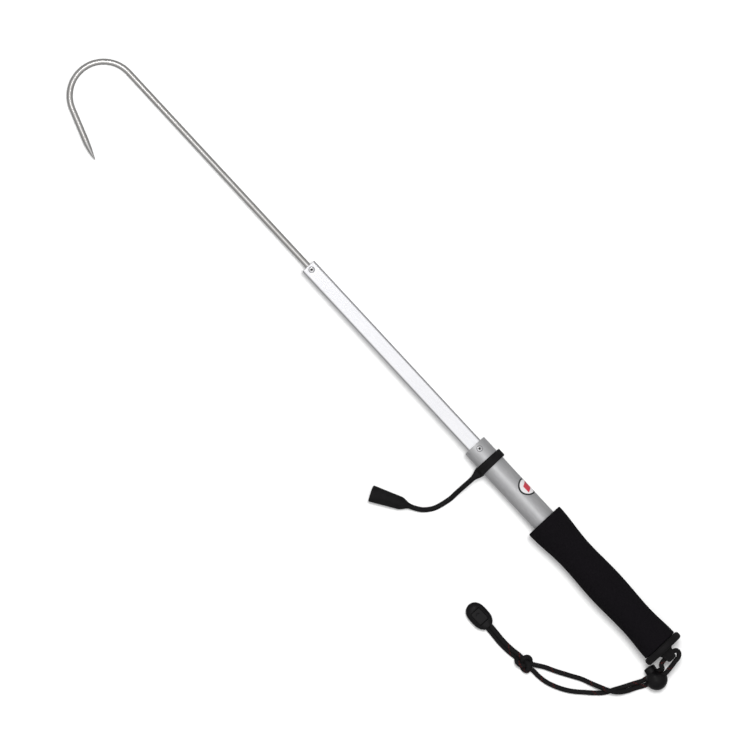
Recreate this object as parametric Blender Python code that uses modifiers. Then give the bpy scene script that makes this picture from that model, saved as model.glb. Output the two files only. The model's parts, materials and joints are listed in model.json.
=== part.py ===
"""Telescopic landing hook, drawn out to its full length and lying on a flat surface.

A steel hook slides in a square tube, the square tube slides in a round handle tube, and
each pair is kept together by a bush riveted in the outer tube's mouth and a slider pinned
to the inner piece's tail.  The handle carries a foam grip, a rubber butt cap with a lug
for the wrist lanyard, and a rubber guard for the hook's point.

Metres, +Z up.  Stations along the tool run from the back of the butt cap's rim (0)
towards the hook.  The tool rests on the front of its grip and on the bend of its hook,
so its own frame (the empty "tool") is pitched slightly nose down.
"""
import math

import bmesh
import bpy
from mathutils import Matrix, Vector

# ---------------------------------------------------------------- driving dimensions
GAP = 0.0003              # clearance between neighbouring pieces
STEPS_LARGE = 40          # sides of the large turned pieces
STEPS_SMALL = 20          # sides of the small turned pieces

HANDLE_RADIUS = 0.0127
HANDLE_WALL = 0.0010
HANDLE_MOUTH = 0.280      # station of the handle tube's open end
MIDDLE_HALF = 0.0080      # half the square tube's width
MIDDLE_WALL = 0.0012
MIDDLE_CORNER = 0.0020
MIDDLE_TAIL = 0.2360
MIDDLE_MOUTH = 0.5240
MIDDLE_CLEAR = (0.2850, 0.5120)      # bare stretch of the square tube, between its fittings
END_RELIEF = 0.00005                 # how much smaller its half width is beyond that stretch
ROD_RADIUS = 0.0030
ROD_TAIL = 0.4800
BUSH_LENGTH = 0.0220
SLIDER_LENGTH = 0.0210
PIN_STANDOFF = 0.0100     # from a slider's tail to its pin

BEND_STATION = 0.7885     # where the hook's shank turns into the bend
BEND_RADIUS = 0.0340
BEND_ANGLE = math.radians(160.0)
LEG_LENGTH = 0.0565
POINT_LENGTH = 0.0220     # ground, tapered end of the leg
POINT_SHIFT = 0.0012      # how far the grinding moves the point towards the shank

RIM_RADIUS = 0.0220
RIM_LENGTH = 0.0075
RIM_EDGE = 0.0028
PLUG_LENGTH = 0.0175
LUG_LENGTH = 0.0110
LUG_HALF_ROOT = 0.0076
LUG_HALF_END = 0.0052
LUG_HALF_HEIGHT = 0.0062
LUG_HOLE_STATION = -0.0055
LUG_HOLE_RADIUS = 0.0028

GRIP_BACK = 0.0080
GRIP_FRONT = 0.1780
GRIP_EDGE = 0.0015
GRIP_WAISTS = [(0.008, 0.0193), (0.042, 0.0176), (0.088, 0.0189), (0.130, 0.0177), (0.178, 0.0208)]

RIVET_HEAD_RADIUS = 0.00325
RIVET_HEAD_HEIGHT = 0.0011
RIVET_SHANK_RADIUS = 0.0016
RIVET_SHANK_LENGTH = 0.0036
MIDDLE_RIVET_STATION = 0.5190
HANDLE_RIVET_STATION = 0.2740
HANDLE_RIVET_ROLL = math.radians(7.0)

LABEL_STATION = 0.2145
LABEL_ANGLE = math.radians(61.0)     # from the top of the tube towards -Y
LABEL_HALF_LENGTH = 0.0092
LABEL_HALF_WIDTH = 0.0108
LABEL_THICKNESS = 0.0001

RING_STATION = 0.2570
RING_WIDTH = 0.0095
RING_WALL = 0.0027
TAB_HALF_WIDTH = 0.0057
TAB_END = 0.0240
STRAP_RADIUS = 0.0025
SLEEVE_NECK = (0.2810, 0.0897)       # station and side position of the sleeve's neck
SLEEVE_YAW = math.radians(28.8)
SLEEVE_LENGTH = 0.0390
SLEEVE_SHOULDER = 0.0090
SLEEVE_SHOULDER_RADIUS = 0.0066
SLEEVE_MOUTH_RADIUS = 0.0085
SLEEVE_NECK_RADIUS = 0.0027
SLEEVE_BORE_RADIUS = 0.0060

CORD_RADIUS = 0.0025
LOCK_RADIUS = 0.0110
LOCK_PLACE = (-0.0152, 0.0254)       # station and side position of the ball's centre
LOCK_YAW = math.radians(-10.0)
LOCK_TILT = math.radians(35.0)
LOCK_BORE_RADIUS = 0.0063
LOCK_BORE_FLOOR = -0.0080
LOCK_HOLE_CENTRE = 0.0035
LOCK_HOLE_HALF_LENGTH = 0.0048
LOCK_HOLE_HALF_HEIGHT = 0.0027
LOCK_STRAND_OFFSET = 0.00265
BUTTON_TAIL = -0.0019
BUTTON_HEAD = 0.0152
BUTTON_SLOT_SHIFT = 0.0010
SPRING_RADIUS = 0.0044
SPRING_WIRE = 0.0003
SPRING_TURNS = 4

KNOT_PLACE = (0.0865, 0.1113)
KNOT_HALF_SIZE = (0.0100, 0.0072, 0.0056)
CORD_END_STATION = 0.1385
CORD_END_SIDE = 0.1125
CORD_END_LENGTH = 0.0275
CORD_END_HALF_WIDTH = 0.0093
CORD_END_HEIGHT = 0.0118

# ---------------------------------------------------------------- how the tool lies
# Both contact curves are circles in side view, so the resting pitch is their common
# tangent: the rounded edge of the grip's flare and the rod at the far side of the bend.
BEND_FAR = BEND_STATION + BEND_RADIUS
FLARE_STATION = GRIP_FRONT - GRIP_EDGE
FLARE_CENTRE = GRIP_WAISTS[-1][1] - GRIP_EDGE
SPAN = math.hypot(BEND_FAR - FLARE_STATION, FLARE_CENTRE)
PITCH = math.atan2(FLARE_CENTRE, BEND_FAR - FLARE_STATION) - math.asin((ROD_RADIUS - GRIP_EDGE) / SPAN)

LEG_HEADING = BEND_ANGLE - math.pi / 2
LEG_START = Vector((BEND_STATION + BEND_RADIUS * math.cos(LEG_HEADING),
                    BEND_RADIUS * (1 + math.sin(LEG_HEADING)), 0))
LEG_DIRECTION = Vector((-math.sin(LEG_HEADING), math.cos(LEG_HEADING), 0))
LEG_INWARD = Vector((-LEG_DIRECTION.y, LEG_DIRECTION.x, 0))
HOOK_TIP_SIDE = (LEG_START + LEG_DIRECTION * LEG_LENGTH + LEG_INWARD * POINT_SHIFT).y

BACK_END = -LUG_LENGTH * math.cos(PITCH) - LUG_HALF_HEIGHT * math.sin(PITCH)
FRONT_END = BEND_FAR * math.cos(PITCH) + ROD_RADIUS
TOOL_X = -(BACK_END + FRONT_END) / 2
TOOL_Y = (RIM_RADIUS - HOOK_TIP_SIDE) / 2
TOOL_Z = BEND_FAR * math.sin(PITCH) + ROD_RADIUS

# ---------------------------------------------------------------- finishes
FINISHES = {
    "polished_steel": ((0.62, 0.61, 0.59), 0.16, 1.0),
    "bright_aluminium": ((0.86, 0.86, 0.90), 0.28, 1.0),
    "satin_aluminium": ((0.50, 0.51, 0.52), 0.42, 1.0),
    "rivet_aluminium": ((0.72, 0.72, 0.74), 0.30, 1.0),
    "eva_foam": ((0.012, 0.012, 0.014), 0.92, 0.0),
    "black_rubber": ((0.018, 0.018, 0.019), 0.55, 0.0),
    "black_plastic": ((0.022, 0.022, 0.024), 0.38, 0.0),
    "nylon": ((0.72, 0.72, 0.70), 0.50, 0.0),
    "label": ((0.90, 0.90, 0.90), 0.35, 0.0),
    "braided_cord": ((0.015, 0.014, 0.015), 0.85, 0.0),
    "spring_steel": ((0.45, 0.45, 0.46), 0.30, 1.0),
}


def clear_scene():
    for item in list(bpy.data.objects):
        bpy.data.objects.remove(item, do_unlink=True)


def make_collection(name):
    collection = bpy.data.collections.new(name)
    bpy.context.scene.collection.children.link(collection)
    return collection


def make_material(name):
    colour, roughness, metallic = FINISHES[name]
    material = bpy.data.materials.new(name)
    material.use_nodes = True
    shader = material.node_tree.nodes["Principled BSDF"]
    shader.inputs["Base Color"].default_value = (*colour, 1.0)
    shader.inputs["Roughness"].default_value = roughness
    shader.inputs["Metallic"].default_value = metallic
    material.diffuse_color = (*colour, 1.0)
    return material


clear_scene()
PARTS = make_collection("boat_hook")
CUTTERS = make_collection("cutters")
MATERIALS = {name: make_material(name) for name in FINISHES}


# ---------------------------------------------------------------- frames and helpers
def make_empty(name, matrix):
    empty = bpy.data.objects.new(name, None)
    PARTS.objects.link(empty)
    empty.matrix_world = matrix
    return empty


def frame_matrix(origin, x_axis, z_axis):
    y_axis = z_axis.cross(x_axis)
    rotation = Matrix((x_axis, y_axis, z_axis)).transposed().to_4x4()
    return Matrix.Translation(origin) @ rotation


TOOL_MATRIX = Matrix.Translation((TOOL_X, TOOL_Y, TOOL_Z)) @ Matrix.Rotation(PITCH, 4, "Y")
LOCK_CENTRE = Vector((TOOL_X + LOCK_PLACE[0], TOOL_Y + LOCK_PLACE[1], LOCK_RADIUS))
PLUNGER_AXIS = Vector((math.cos(LOCK_YAW), math.sin(LOCK_YAW), 0))
CORD_AXIS = Vector((-math.sin(LOCK_YAW) * math.cos(LOCK_TILT),
                    math.cos(LOCK_YAW) * math.cos(LOCK_TILT),
                    -math.sin(LOCK_TILT)))
TOOL = make_empty("tool", TOOL_MATRIX)
LOCK = make_empty("cord_lock", frame_matrix(LOCK_CENTRE, CORD_AXIS, PLUNGER_AXIS))

ALONG_TOOL = (0.0, math.pi / 2, 0.0)      # turns an object's own +Z onto the tool's +X
ACROSS_TOOL = (math.pi / 2, 0.0, 0.0)     # turns an object's own Z onto the tool's Y


def on_tool(station, side, height):
    """World position of a point given in the tool's own frame."""
    return TOOL_MATRIX @ Vector((station, side, height))


def on_table(station, side, height):
    """World position of a point beside the tool, at a height above the surface."""
    return Vector((TOOL_X + station, TOOL_Y + side, height))


def in_lock(across, up, out):
    """World position of a point in the cord lock's frame."""
    return LOCK.matrix_world @ Vector((across, up, out))


def arc(centre_x, centre_y, radius, start, end, count):
    """Points on an arc, angles in degrees, both ends included."""
    angles = [math.radians(start + (end - start) * i / count) for i in range(count + 1)]
    return [(centre_x + radius * math.cos(a), centre_y + radius * math.sin(a)) for a in angles]


def circle(radius, count):
    return arc(0, 0, radius, 0, 360 * (count - 1) / count, count - 1)


def rounded_rectangle(half_x, half_y, corner, count=4):
    points = []
    for start, sign_x, sign_y in ((0, 1, 1), (90, -1, 1), (180, -1, -1), (270, 1, -1)):
        centre = (sign_x * (half_x - corner), sign_y * (half_y - corner))
        points += arc(*centre, corner, start, start + 90, count)
    return points


def smooth_route(points, count):
    """Evenly stepped points on a smooth curve through the given route points."""
    ends = [points[0] * 2 - points[1]] + list(points) + [points[-1] * 2 - points[-2]]
    fine = []
    for i in range(1, len(ends) - 2):
        before, start, end, after = ends[i - 1:i + 3]
        for k in range(16):
            t = k / 16
            fine.append(0.5 * (2 * start + (end - before) * t
                               + (2 * before - 5 * start + 4 * end - after) * t ** 2
                               + (3 * start - before - 3 * end + after) * t ** 3))
    fine.append(points[-1].copy())
    travelled = [0.0]
    for first, second in zip(fine, fine[1:]):
        travelled.append(travelled[-1] + (second - first).length)
    route, k = [], 0
    for i in range(count + 1):
        target = travelled[-1] * i / count
        while k < len(fine) - 2 and travelled[k + 1] < target:
            k += 1
        share = (target - travelled[k]) / (travelled[k + 1] - travelled[k])
        route.append(fine[k].lerp(fine[k + 1], share))
    return route


# ---------------------------------------------------------------- object makers
def finish_object(item, material, parent, location=(0, 0, 0), rotation=(0, 0, 0)):
    item.data.materials.clear()
    item.data.materials.append(MATERIALS[material])
    item.parent = parent
    item.location = location
    item.rotation_euler = rotation
    return item


def turned(name, profile, material, closed=False, steps=STEPS_LARGE, parent=TOOL,
           location=(0, 0, 0), rotation=ALONG_TOOL):
    """A profile of (radius, height) points turned about the object's own Z axis."""
    mesh = bpy.data.meshes.new(name)
    count = len(profile)
    edges = [(i, i + 1) for i in range(count - 1)]
    if closed:
        edges.append((count - 1, 0))
    mesh.from_pydata([(radius, 0, height) for radius, height in profile], edges, [])
    item = bpy.data.objects.new(name, mesh)
    PARTS.objects.link(item)
    screw = item.modifiers.new("turn", "SCREW")
    screw.steps = steps
    screw.render_steps = steps
    screw.use_merge_vertices = True
    screw.merge_threshold = 0.00001
    screw.use_smooth_shade = True
    return finish_object(item, material, parent, location, rotation)


def curve_object(name, splines, dimensions):
    """A POLY curve; splines is a list of (points, closed, radii)."""
    curve = bpy.data.curves.new(name, "CURVE")
    curve.dimensions = dimensions
    for points, closed, radii in splines:
        spline = curve.splines.new("POLY")
        spline.points.add(len(points) - 1)
        for i, point in enumerate(points):
            spline.points[i].co = (*point, 1.0) if len(point) == 3 else (*point, 0.0, 1.0)
            spline.points[i].radius = radii[i] if radii else 1.0
        spline.use_cyclic_u = closed
    item = bpy.data.objects.new(name, curve)
    PARTS.objects.link(item)
    return item


def as_mesh(item):
    """Replaces a curve object by its welded mesh, in the same place."""
    bpy.context.view_layer.update()
    evaluated = item.evaluated_get(bpy.context.evaluated_depsgraph_get())
    mesh = bpy.data.meshes.new_from_object(evaluated)
    shell = bmesh.new()
    shell.from_mesh(mesh)
    bmesh.ops.remove_doubles(shell, verts=shell.verts, dist=0.000001)
    shell.to_mesh(mesh)
    shell.free()
    name = item.name
    solid = bpy.data.objects.new(name + "_solid", mesh)
    solid.parent = item.parent
    solid.matrix_world = item.matrix_world
    PARTS.objects.link(solid)
    bpy.data.objects.remove(item, do_unlink=True)
    solid.name = name
    return solid


def extruded(name, outlines, length, material, parent=TOOL, location=(0, 0, 0), rotation=ALONG_TOOL):
    """Flat outlines, the second one a hole, given a thickness along the object's own Z."""
    item = curve_object(name, [(points, True, None) for points in outlines], "2D")
    item.data.fill_mode = "BOTH"
    item.data.extrude = length / 2
    finish_object(item, material, parent, location, rotation)
    return as_mesh(item)


def wire(name, points, radius, material, parent=None, resolution=2, radii=None):
    """A round tube along points given in the parent's frame."""
    item = curve_object(name, [(points, False, radii)], "3D")
    item.data.bevel_depth = radius
    item.data.bevel_resolution = resolution
    item.data.use_fill_caps = True
    return finish_object(item, material, parent)


def cylinder(name, radius, length, material, parent=TOOL, location=(0, 0, 0), rotation=(0, 0, 0),
             sides=STEPS_SMALL):
    mesh = bpy.data.meshes.new(name)
    shell = bmesh.new()
    bmesh.ops.create_cone(shell, cap_ends=True, segments=sides, radius1=radius,
                          radius2=radius, depth=length)
    shell.to_mesh(mesh)
    shell.free()
    item = bpy.data.objects.new(name, mesh)
    PARTS.objects.link(item)
    mesh.shade_smooth()
    mesh.set_sharp_from_angle(angle=math.radians(40))
    return finish_object(item, material, parent, location, rotation)


def to_cutter(item):
    PARTS.objects.unlink(item)
    CUTTERS.objects.link(item)
    item.hide_render = True
    item.display_type = "WIRE"
    return item


def cut(target, cutter, operation="DIFFERENCE"):
    modifier = target.modifiers.new(cutter.name, "BOOLEAN")
    modifier.operation = operation
    modifier.solver = "EXACT"
    modifier.object = cutter


# ---------------------------------------------------------------- handle
def grip_radius(station):
    """Outer radius of the grip: cosine waves between its waists and swells."""
    for (start, low), (end, high) in zip(GRIP_WAISTS, GRIP_WAISTS[1:]):
        if station <= end:
            share = (station - start) / (end - start)
            return low + (high - low) * (1 - math.cos(math.pi * share)) / 2
    return GRIP_WAISTS[-1][1]


def handle_tube():
    inner = HANDLE_RADIUS - HANDLE_WALL
    edge = HANDLE_WALL / 3
    profile = [(inner, HANDLE_MOUTH), (HANDLE_RADIUS - edge, HANDLE_MOUTH),
               (HANDLE_RADIUS, HANDLE_MOUTH - edge), (HANDLE_RADIUS, GRIP_BACK), (inner, GRIP_BACK)]
    return turned("handle_tube", profile, "satin_aluminium", closed=True)


def foam_grip():
    bore = HANDLE_RADIUS + GAP
    count = 16
    back = GRIP_BACK + GAP
    stations = [FLARE_STATION + (back + GRIP_EDGE - FLARE_STATION) * i / count for i in range(count + 1)]
    front_edge = arc(FLARE_CENTRE, FLARE_STATION, GRIP_EDGE, 90, 20, 3)
    outer = [(grip_radius(station), station) for station in stations]
    back_radius = grip_radius(stations[-1]) - GRIP_EDGE / 2
    profile = [(bore, GRIP_FRONT)] + front_edge + outer + [(back_radius, back), (bore, back)]
    return turned("foam_grip", profile, "eva_foam", closed=True)


def butt_cap():
    plug_radius = HANDLE_RADIUS - HANDLE_WALL - GAP
    plug_end = RIM_LENGTH + PLUG_LENGTH
    centre = RIM_RADIUS - RIM_EDGE
    profile = [(0, plug_end), (plug_radius - 0.001, plug_end), (plug_radius, plug_end - 0.001),
               (plug_radius, RIM_LENGTH)]
    profile += arc(centre, RIM_LENGTH - RIM_EDGE, RIM_EDGE, 90, 0, 4)
    profile += arc(centre, RIM_EDGE, RIM_EDGE, 0, -90, 4)
    profile += [(0, 0)]
    cap = turned("butt_cap", profile, "black_rubber")
    root = RIM_LENGTH / 2
    outline = [(root, -LUG_HALF_ROOT), (root, LUG_HALF_ROOT), (0, LUG_HALF_ROOT)]
    corner = 0.0025
    outline += arc(corner - LUG_LENGTH, LUG_HALF_END - corner, corner, 70, 180, 4)
    outline += arc(corner - LUG_LENGTH, corner - LUG_HALF_END, corner, 180, 290, 4)
    outline += [(0, -LUG_HALF_ROOT)]
    lug = extruded("lug", [outline], 2 * LUG_HALF_HEIGHT, "black_rubber", rotation=(0, 0, 0))
    bevel = lug.modifiers.new("edges", "BEVEL")
    bevel.width = 0.0012
    bevel.segments = 2
    bevel.limit_method = "ANGLE"
    bevel.angle_limit = math.radians(60)
    cut(cap, to_cutter(lug), "UNION")
    hole = cylinder("lug_hole", LUG_HOLE_RADIUS, 0.03, "black_rubber",
                    location=(LUG_HOLE_STATION, 0, 0), rotation=ACROSS_TOOL)
    cut(cap, to_cutter(hole))
    return cap


def label():
    """An oval sticker wrapped on the handle tube."""
    mesh = bpy.data.meshes.new("label")
    shell = bmesh.new()
    bmesh.ops.create_grid(shell, x_segments=10, y_segments=10, size=1.0)
    radius = HANDLE_RADIUS + LABEL_THICKNESS
    for vertex in shell.verts:
        x, y = vertex.co.x, vertex.co.y
        length = LABEL_HALF_LENGTH * x * math.sqrt(1 - y * y / 2)
        angle = LABEL_ANGLE + LABEL_HALF_WIDTH * y * math.sqrt(1 - x * x / 2) / radius
        vertex.co = (LABEL_STATION + length, -radius * math.sin(angle), radius * math.cos(angle))
    bmesh.ops.recalc_face_normals(shell, faces=shell.faces)
    middle = min(shell.faces, key=lambda face: (face.calc_center_median().x - LABEL_STATION) ** 2)
    outward = Vector((0, middle.calc_center_median().y, middle.calc_center_median().z))
    if middle.normal.dot(outward) < 0:
        bmesh.ops.reverse_faces(shell, faces=shell.faces)
    shell.to_mesh(mesh)
    shell.free()
    item = bpy.data.objects.new("label", mesh)
    PARTS.objects.link(item)
    solidify = item.modifiers.new("thickness", "SOLIDIFY")
    solidify.thickness = LABEL_THICKNESS
    solidify.offset = 1.0
    return finish_object(item, "label", TOOL)


# ---------------------------------------------------------------- rivets, bushes, sliders, pins
def rivet(name, station, roll, radius):
    """A domed blind rivet whose head sits on a surface at the given distance from the axis."""
    height = RIVET_HEAD_HEIGHT
    recess = 0.0009
    profile = [(0, height - 0.0006), (recess, height - 0.0006), (recess, height)]
    profile += [(0.0019, height * 0.93), (0.0027, height * 0.68), (RIVET_HEAD_RADIUS, height * 0.22)]
    profile += [(RIVET_HEAD_RADIUS, 0), (RIVET_SHANK_RADIUS, 0)]
    profile += [(RIVET_SHANK_RADIUS, -RIVET_SHANK_LENGTH), (0, -RIVET_SHANK_LENGTH)]
    seat = radius + GAP / 2
    place = (station, -seat * math.sin(roll), seat * math.cos(roll))
    return turned(name, profile, "rivet_aluminium", steps=STEPS_SMALL, location=place,
                  rotation=(roll, 0, 0))


def rivet_hole(name, station, roll):
    return to_cutter(cylinder(name, RIVET_SHANK_RADIUS + GAP, 0.04, "nylon",
                              location=(station, 0, 0), rotation=(roll, 0, 0)))


def pin_hole(name, station, radius):
    return to_cutter(cylinder(name, radius + GAP, 0.04, "nylon",
                              location=(station, 0, 0), rotation=ACROSS_TOOL))


def square_in_round(name, start, length):
    """A plastic collar: round to fill the handle tube, square to pass the middle tube."""
    outside = circle(HANDLE_RADIUS - HANDLE_WALL - GAP, STEPS_LARGE)
    half = MIDDLE_HALF + GAP
    inside = rounded_rectangle(half, half, MIDDLE_CORNER + GAP)
    return extruded(name, [outside, inside], length, "nylon", location=(start + length / 2, 0, 0))


def round_in_square(name, start, length):
    """A plastic plug: square to fill the middle tube, round to pass the rod."""
    half = MIDDLE_HALF - MIDDLE_WALL - GAP
    outside = rounded_rectangle(half, half, MIDDLE_CORNER - MIDDLE_WALL, 2)
    inside = circle(ROD_RADIUS + GAP, STEPS_SMALL)
    return extruded(name, [outside, inside], length, "nylon", location=(start + length / 2, 0, 0))


def middle_tube():
    outside = rounded_rectangle(MIDDLE_HALF, MIDDLE_HALF, MIDDLE_CORNER)
    half = MIDDLE_HALF - MIDDLE_WALL
    inside = rounded_rectangle(half, half, MIDDLE_CORNER - MIDDLE_WALL, 2)
    length = MIDDLE_MOUTH - MIDDLE_TAIL
    centre = MIDDLE_TAIL + length / 2
    tube = extruded("middle_tube", [outside, inside], length, "bright_aluminium", location=(centre, 0, 0))
    relieve_ends(tube, MIDDLE_CLEAR[0] - centre, MIDDLE_CLEAR[1] - centre)
    return tube


def relieve_ends(tube, low, high):
    """Makes a tube slightly smaller beyond low and high on its own Z, where its fittings are."""
    ramp = 0.0010
    shell = bmesh.new()
    shell.from_mesh(tube.data)
    for height in (low - ramp, low, high, high + ramp):
        geometry = shell.verts[:] + shell.edges[:] + shell.faces[:]
        bmesh.ops.bisect_plane(shell, geom=geometry, plane_co=(0, 0, height), plane_no=(0, 0, 1))
    for vertex in shell.verts:
        if not low - ramp / 2 < vertex.co.z < high + ramp / 2:
            vertex.co.xy *= 1 - END_RELIEF / MIDDLE_HALF
    shell.to_mesh(tube.data)
    shell.free()


def hook():
    """The rod: straight shank, round bend, flared leg and a ground point."""
    points = [(ROD_TAIL, 0, 0), (ROD_TAIL + SLIDER_LENGTH, 0, 0), (0.65, 0, 0)]
    bend = arc(BEND_STATION, BEND_RADIUS, BEND_RADIUS, -90, math.degrees(BEND_ANGLE) - 90, 26)
    points += [(x, y, 0) for x, y in bend]
    radii = [1.0] * len(points)
    taper = ((0.0, 1.0), (0.25, 0.88), (0.5, 0.69), (0.75, 0.42), (0.92, 0.17), (1.0, 0.05))
    for share, radius in taper:
        reach = LEG_LENGTH - POINT_LENGTH * (1 - share)
        points.append(tuple(LEG_START + LEG_DIRECTION * reach + LEG_INWARD * POINT_SHIFT * share ** 2))
        radii.append(radius)
    rod = wire("hook", points, ROD_RADIUS, "polished_steel", parent=TOOL, resolution=4, radii=radii)
    solid = as_mesh(rod)
    solid.data.shade_smooth()
    solid.data.set_sharp_from_angle(angle=math.radians(50))
    return solid


def telescoping_sections():
    """Tubes, hook and the bushes, rivets, sliders and pins that keep them together."""
    tube = handle_tube()
    mouth_bush = square_in_round("mouth_bush", HANDLE_MOUTH - GAP - BUSH_LENGTH, BUSH_LENGTH)
    rivet("mouth_rivet_top", HANDLE_RIVET_STATION, HANDLE_RIVET_ROLL, HANDLE_RADIUS)
    rivet("mouth_rivet_bottom", HANDLE_RIVET_STATION, HANDLE_RIVET_ROLL + math.pi, HANDLE_RADIUS)
    hole = rivet_hole("mouth_rivet_hole", HANDLE_RIVET_STATION, HANDLE_RIVET_ROLL)
    cut(tube, hole)
    cut(mouth_bush, hole)

    middle = middle_tube()
    middle_bush = round_in_square("middle_bush", MIDDLE_MOUTH - GAP - BUSH_LENGTH, BUSH_LENGTH)
    rivet("middle_rivet_top", MIDDLE_RIVET_STATION, 0, MIDDLE_HALF)
    rivet("middle_rivet_bottom", MIDDLE_RIVET_STATION, math.pi, MIDDLE_HALF)
    hole = rivet_hole("middle_rivet_hole", MIDDLE_RIVET_STATION, 0)
    cut(middle, hole)
    cut(middle_bush, hole)
    slider = square_in_round("middle_slider", MIDDLE_TAIL, SLIDER_LENGTH)
    pin_station = MIDDLE_TAIL + PIN_STANDOFF
    pin_radius = 0.0015
    cylinder("middle_slider_pin", pin_radius, 2 * (HANDLE_RADIUS - HANDLE_WALL - 0.001), "spring_steel",
             location=(pin_station, 0, 0), rotation=ACROSS_TOOL)
    hole = pin_hole("middle_slider_pin_hole", pin_station, pin_radius)
    cut(middle, hole)
    cut(slider, hole)

    rod = hook()
    rod_slider = round_in_square("hook_slider", ROD_TAIL, SLIDER_LENGTH)
    pin_station = ROD_TAIL + PIN_STANDOFF
    pin_radius = 0.0010
    cylinder("hook_slider_pin", pin_radius, 2 * (MIDDLE_HALF - MIDDLE_WALL - 0.001), "spring_steel",
             location=(pin_station, 0, 0), rotation=ACROSS_TOOL)
    hole = pin_hole("hook_slider_pin_hole", pin_station, pin_radius)
    cut(rod, hole)
    cut(rod_slider, hole)


# ---------------------------------------------------------------- point guard
def guard_ring():
    bore = HANDLE_RADIUS + GAP
    outside = bore + RING_WALL
    half = RING_WIDTH / 2
    edge = 0.0006
    profile = [(0, half), (outside - edge, half), (outside, half - edge),
               (outside, edge - half), (outside - edge, -half), (0, -half)]
    ring = turned("guard_ring", profile, "black_rubber", location=(RING_STATION, 0, 0))
    neck = STRAP_RADIUS * 1.08
    wide = TAB_HALF_WIDTH
    outline = [(-wide, 0.0085), (wide, 0.0085), (wide, 0.0150), (wide * 0.75, 0.0190),
               (neck, TAB_END), (-neck, TAB_END), (-wide * 0.75, 0.0190), (-wide, 0.0150)]
    tab = extruded("guard_tab", [outline], 0.0052, "black_rubber",
                   location=(RING_STATION, 0, 0), rotation=(0, 0, 0))
    cut(ring, to_cutter(tab), "UNION")
    bore_cutter = cylinder("guard_ring_bore", bore, 0.04, "black_rubber",
                           location=(RING_STATION, 0, 0), rotation=ALONG_TOOL, sides=STEPS_LARGE)
    cut(ring, to_cutter(bore_cutter))
    return ring


def guard_strap():
    start = on_tool(RING_STATION, TAB_END + GAP, 0)
    neck_height = sleeve_axis_height(0)
    route = [start, on_tool(RING_STATION, 0.0280, -0.0001), on_table(0.2571, 0.0360, 0.0140),
             on_table(0.2572, 0.0450, 0.0074), on_table(0.2573, 0.0555, 0.0034),
             on_table(0.2606, 0.0708, 0.0026), on_table(0.2665, 0.0803, 0.0029),
             on_table(0.2735, 0.0858, 0.0043),
             on_table(SLEEVE_NECK[0] - GAP, SLEEVE_NECK[1] - GAP / 2, neck_height)]
    return wire("guard_strap", smooth_route(route, 20), STRAP_RADIUS, "black_rubber")


def sleeve_slope():
    """Pitch of the sleeve's axis when the cone lies on the surface."""
    rise = SLEEVE_MOUTH_RADIUS - SLEEVE_SHOULDER_RADIUS
    return math.asin(rise / (SLEEVE_LENGTH - SLEEVE_SHOULDER))


def sleeve_axis_height(distance):
    """Height of the sleeve's axis at a distance from its neck."""
    slope = sleeve_slope()
    at_shoulder = SLEEVE_SHOULDER_RADIUS / math.cos(slope)
    return at_shoulder + (distance - SLEEVE_SHOULDER) * math.sin(slope)


def guard_sleeve():
    wall_end = 0.0130
    profile = [(SLEEVE_BORE_RADIUS * 0.55, wall_end + 0.001), (SLEEVE_BORE_RADIUS, SLEEVE_LENGTH - 0.001),
               (SLEEVE_BORE_RADIUS + 0.0004, SLEEVE_LENGTH), (SLEEVE_MOUTH_RADIUS - 0.0004, SLEEVE_LENGTH),
               (SLEEVE_MOUTH_RADIUS, SLEEVE_LENGTH - 0.0005)]
    profile += [(SLEEVE_SHOULDER_RADIUS, SLEEVE_SHOULDER), (0.0060, 0.0066), (0.0045, 0.0040),
                (0.0032, 0.0018), (SLEEVE_NECK_RADIUS, 0), (0, 0)]
    profile = [(0, wall_end)] + profile
    heading = Vector((math.cos(SLEEVE_YAW) * math.cos(sleeve_slope()),
                      math.sin(SLEEVE_YAW) * math.cos(sleeve_slope()),
                      math.sin(sleeve_slope())))
    place = on_table(*SLEEVE_NECK, sleeve_axis_height(0))
    rotation = heading.to_track_quat("Z", "Y").to_euler()
    return turned("guard_sleeve", profile, "black_rubber", steps=28, parent=None,
                  location=place, rotation=rotation)


# ---------------------------------------------------------------- cord lock
def slot_cutter(name, centre):
    outline = rounded_rectangle(LOCK_HOLE_HALF_HEIGHT, LOCK_HOLE_HALF_LENGTH, LOCK_HOLE_HALF_HEIGHT - 0.0004)
    slot = extruded(name, [outline], 0.03, "black_plastic", parent=LOCK, location=(0, 0, centre),
                    rotation=(math.pi / 2, 0, math.pi / 2))
    return to_cutter(slot)


def cord_lock_body():
    mesh = bpy.data.meshes.new("cord_lock_body")
    shell = bmesh.new()
    bmesh.ops.create_uvsphere(shell, u_segments=28, v_segments=14, radius=LOCK_RADIUS)
    shell.to_mesh(mesh)
    shell.free()
    mesh.shade_smooth()
    body = bpy.data.objects.new("cord_lock_body", mesh)
    PARTS.objects.link(body)
    finish_object(body, "black_plastic", LOCK)
    depth = 2 * LOCK_RADIUS
    bore = cylinder("cord_lock_bore", LOCK_BORE_RADIUS, depth, "black_plastic", parent=LOCK,
                    location=(0, 0, LOCK_BORE_FLOOR + depth / 2))
    cut(body, to_cutter(bore))
    cut(body, slot_cutter("cord_lock_hole", LOCK_HOLE_CENTRE))
    return body


def cord_lock_button():
    radius = LOCK_BORE_RADIUS - GAP
    edge = 0.0014
    profile = [(0, BUTTON_HEAD)] + arc(radius - edge, BUTTON_HEAD - edge, edge, 90, 0, 4)
    profile += [(radius, BUTTON_TAIL), (0, BUTTON_TAIL)]
    button = turned("cord_lock_button", profile, "black_plastic", steps=24, parent=LOCK, rotation=(0, 0, 0))
    cut(button, slot_cutter("cord_lock_button_slot", LOCK_HOLE_CENTRE + BUTTON_SLOT_SHIFT))
    return button


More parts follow.
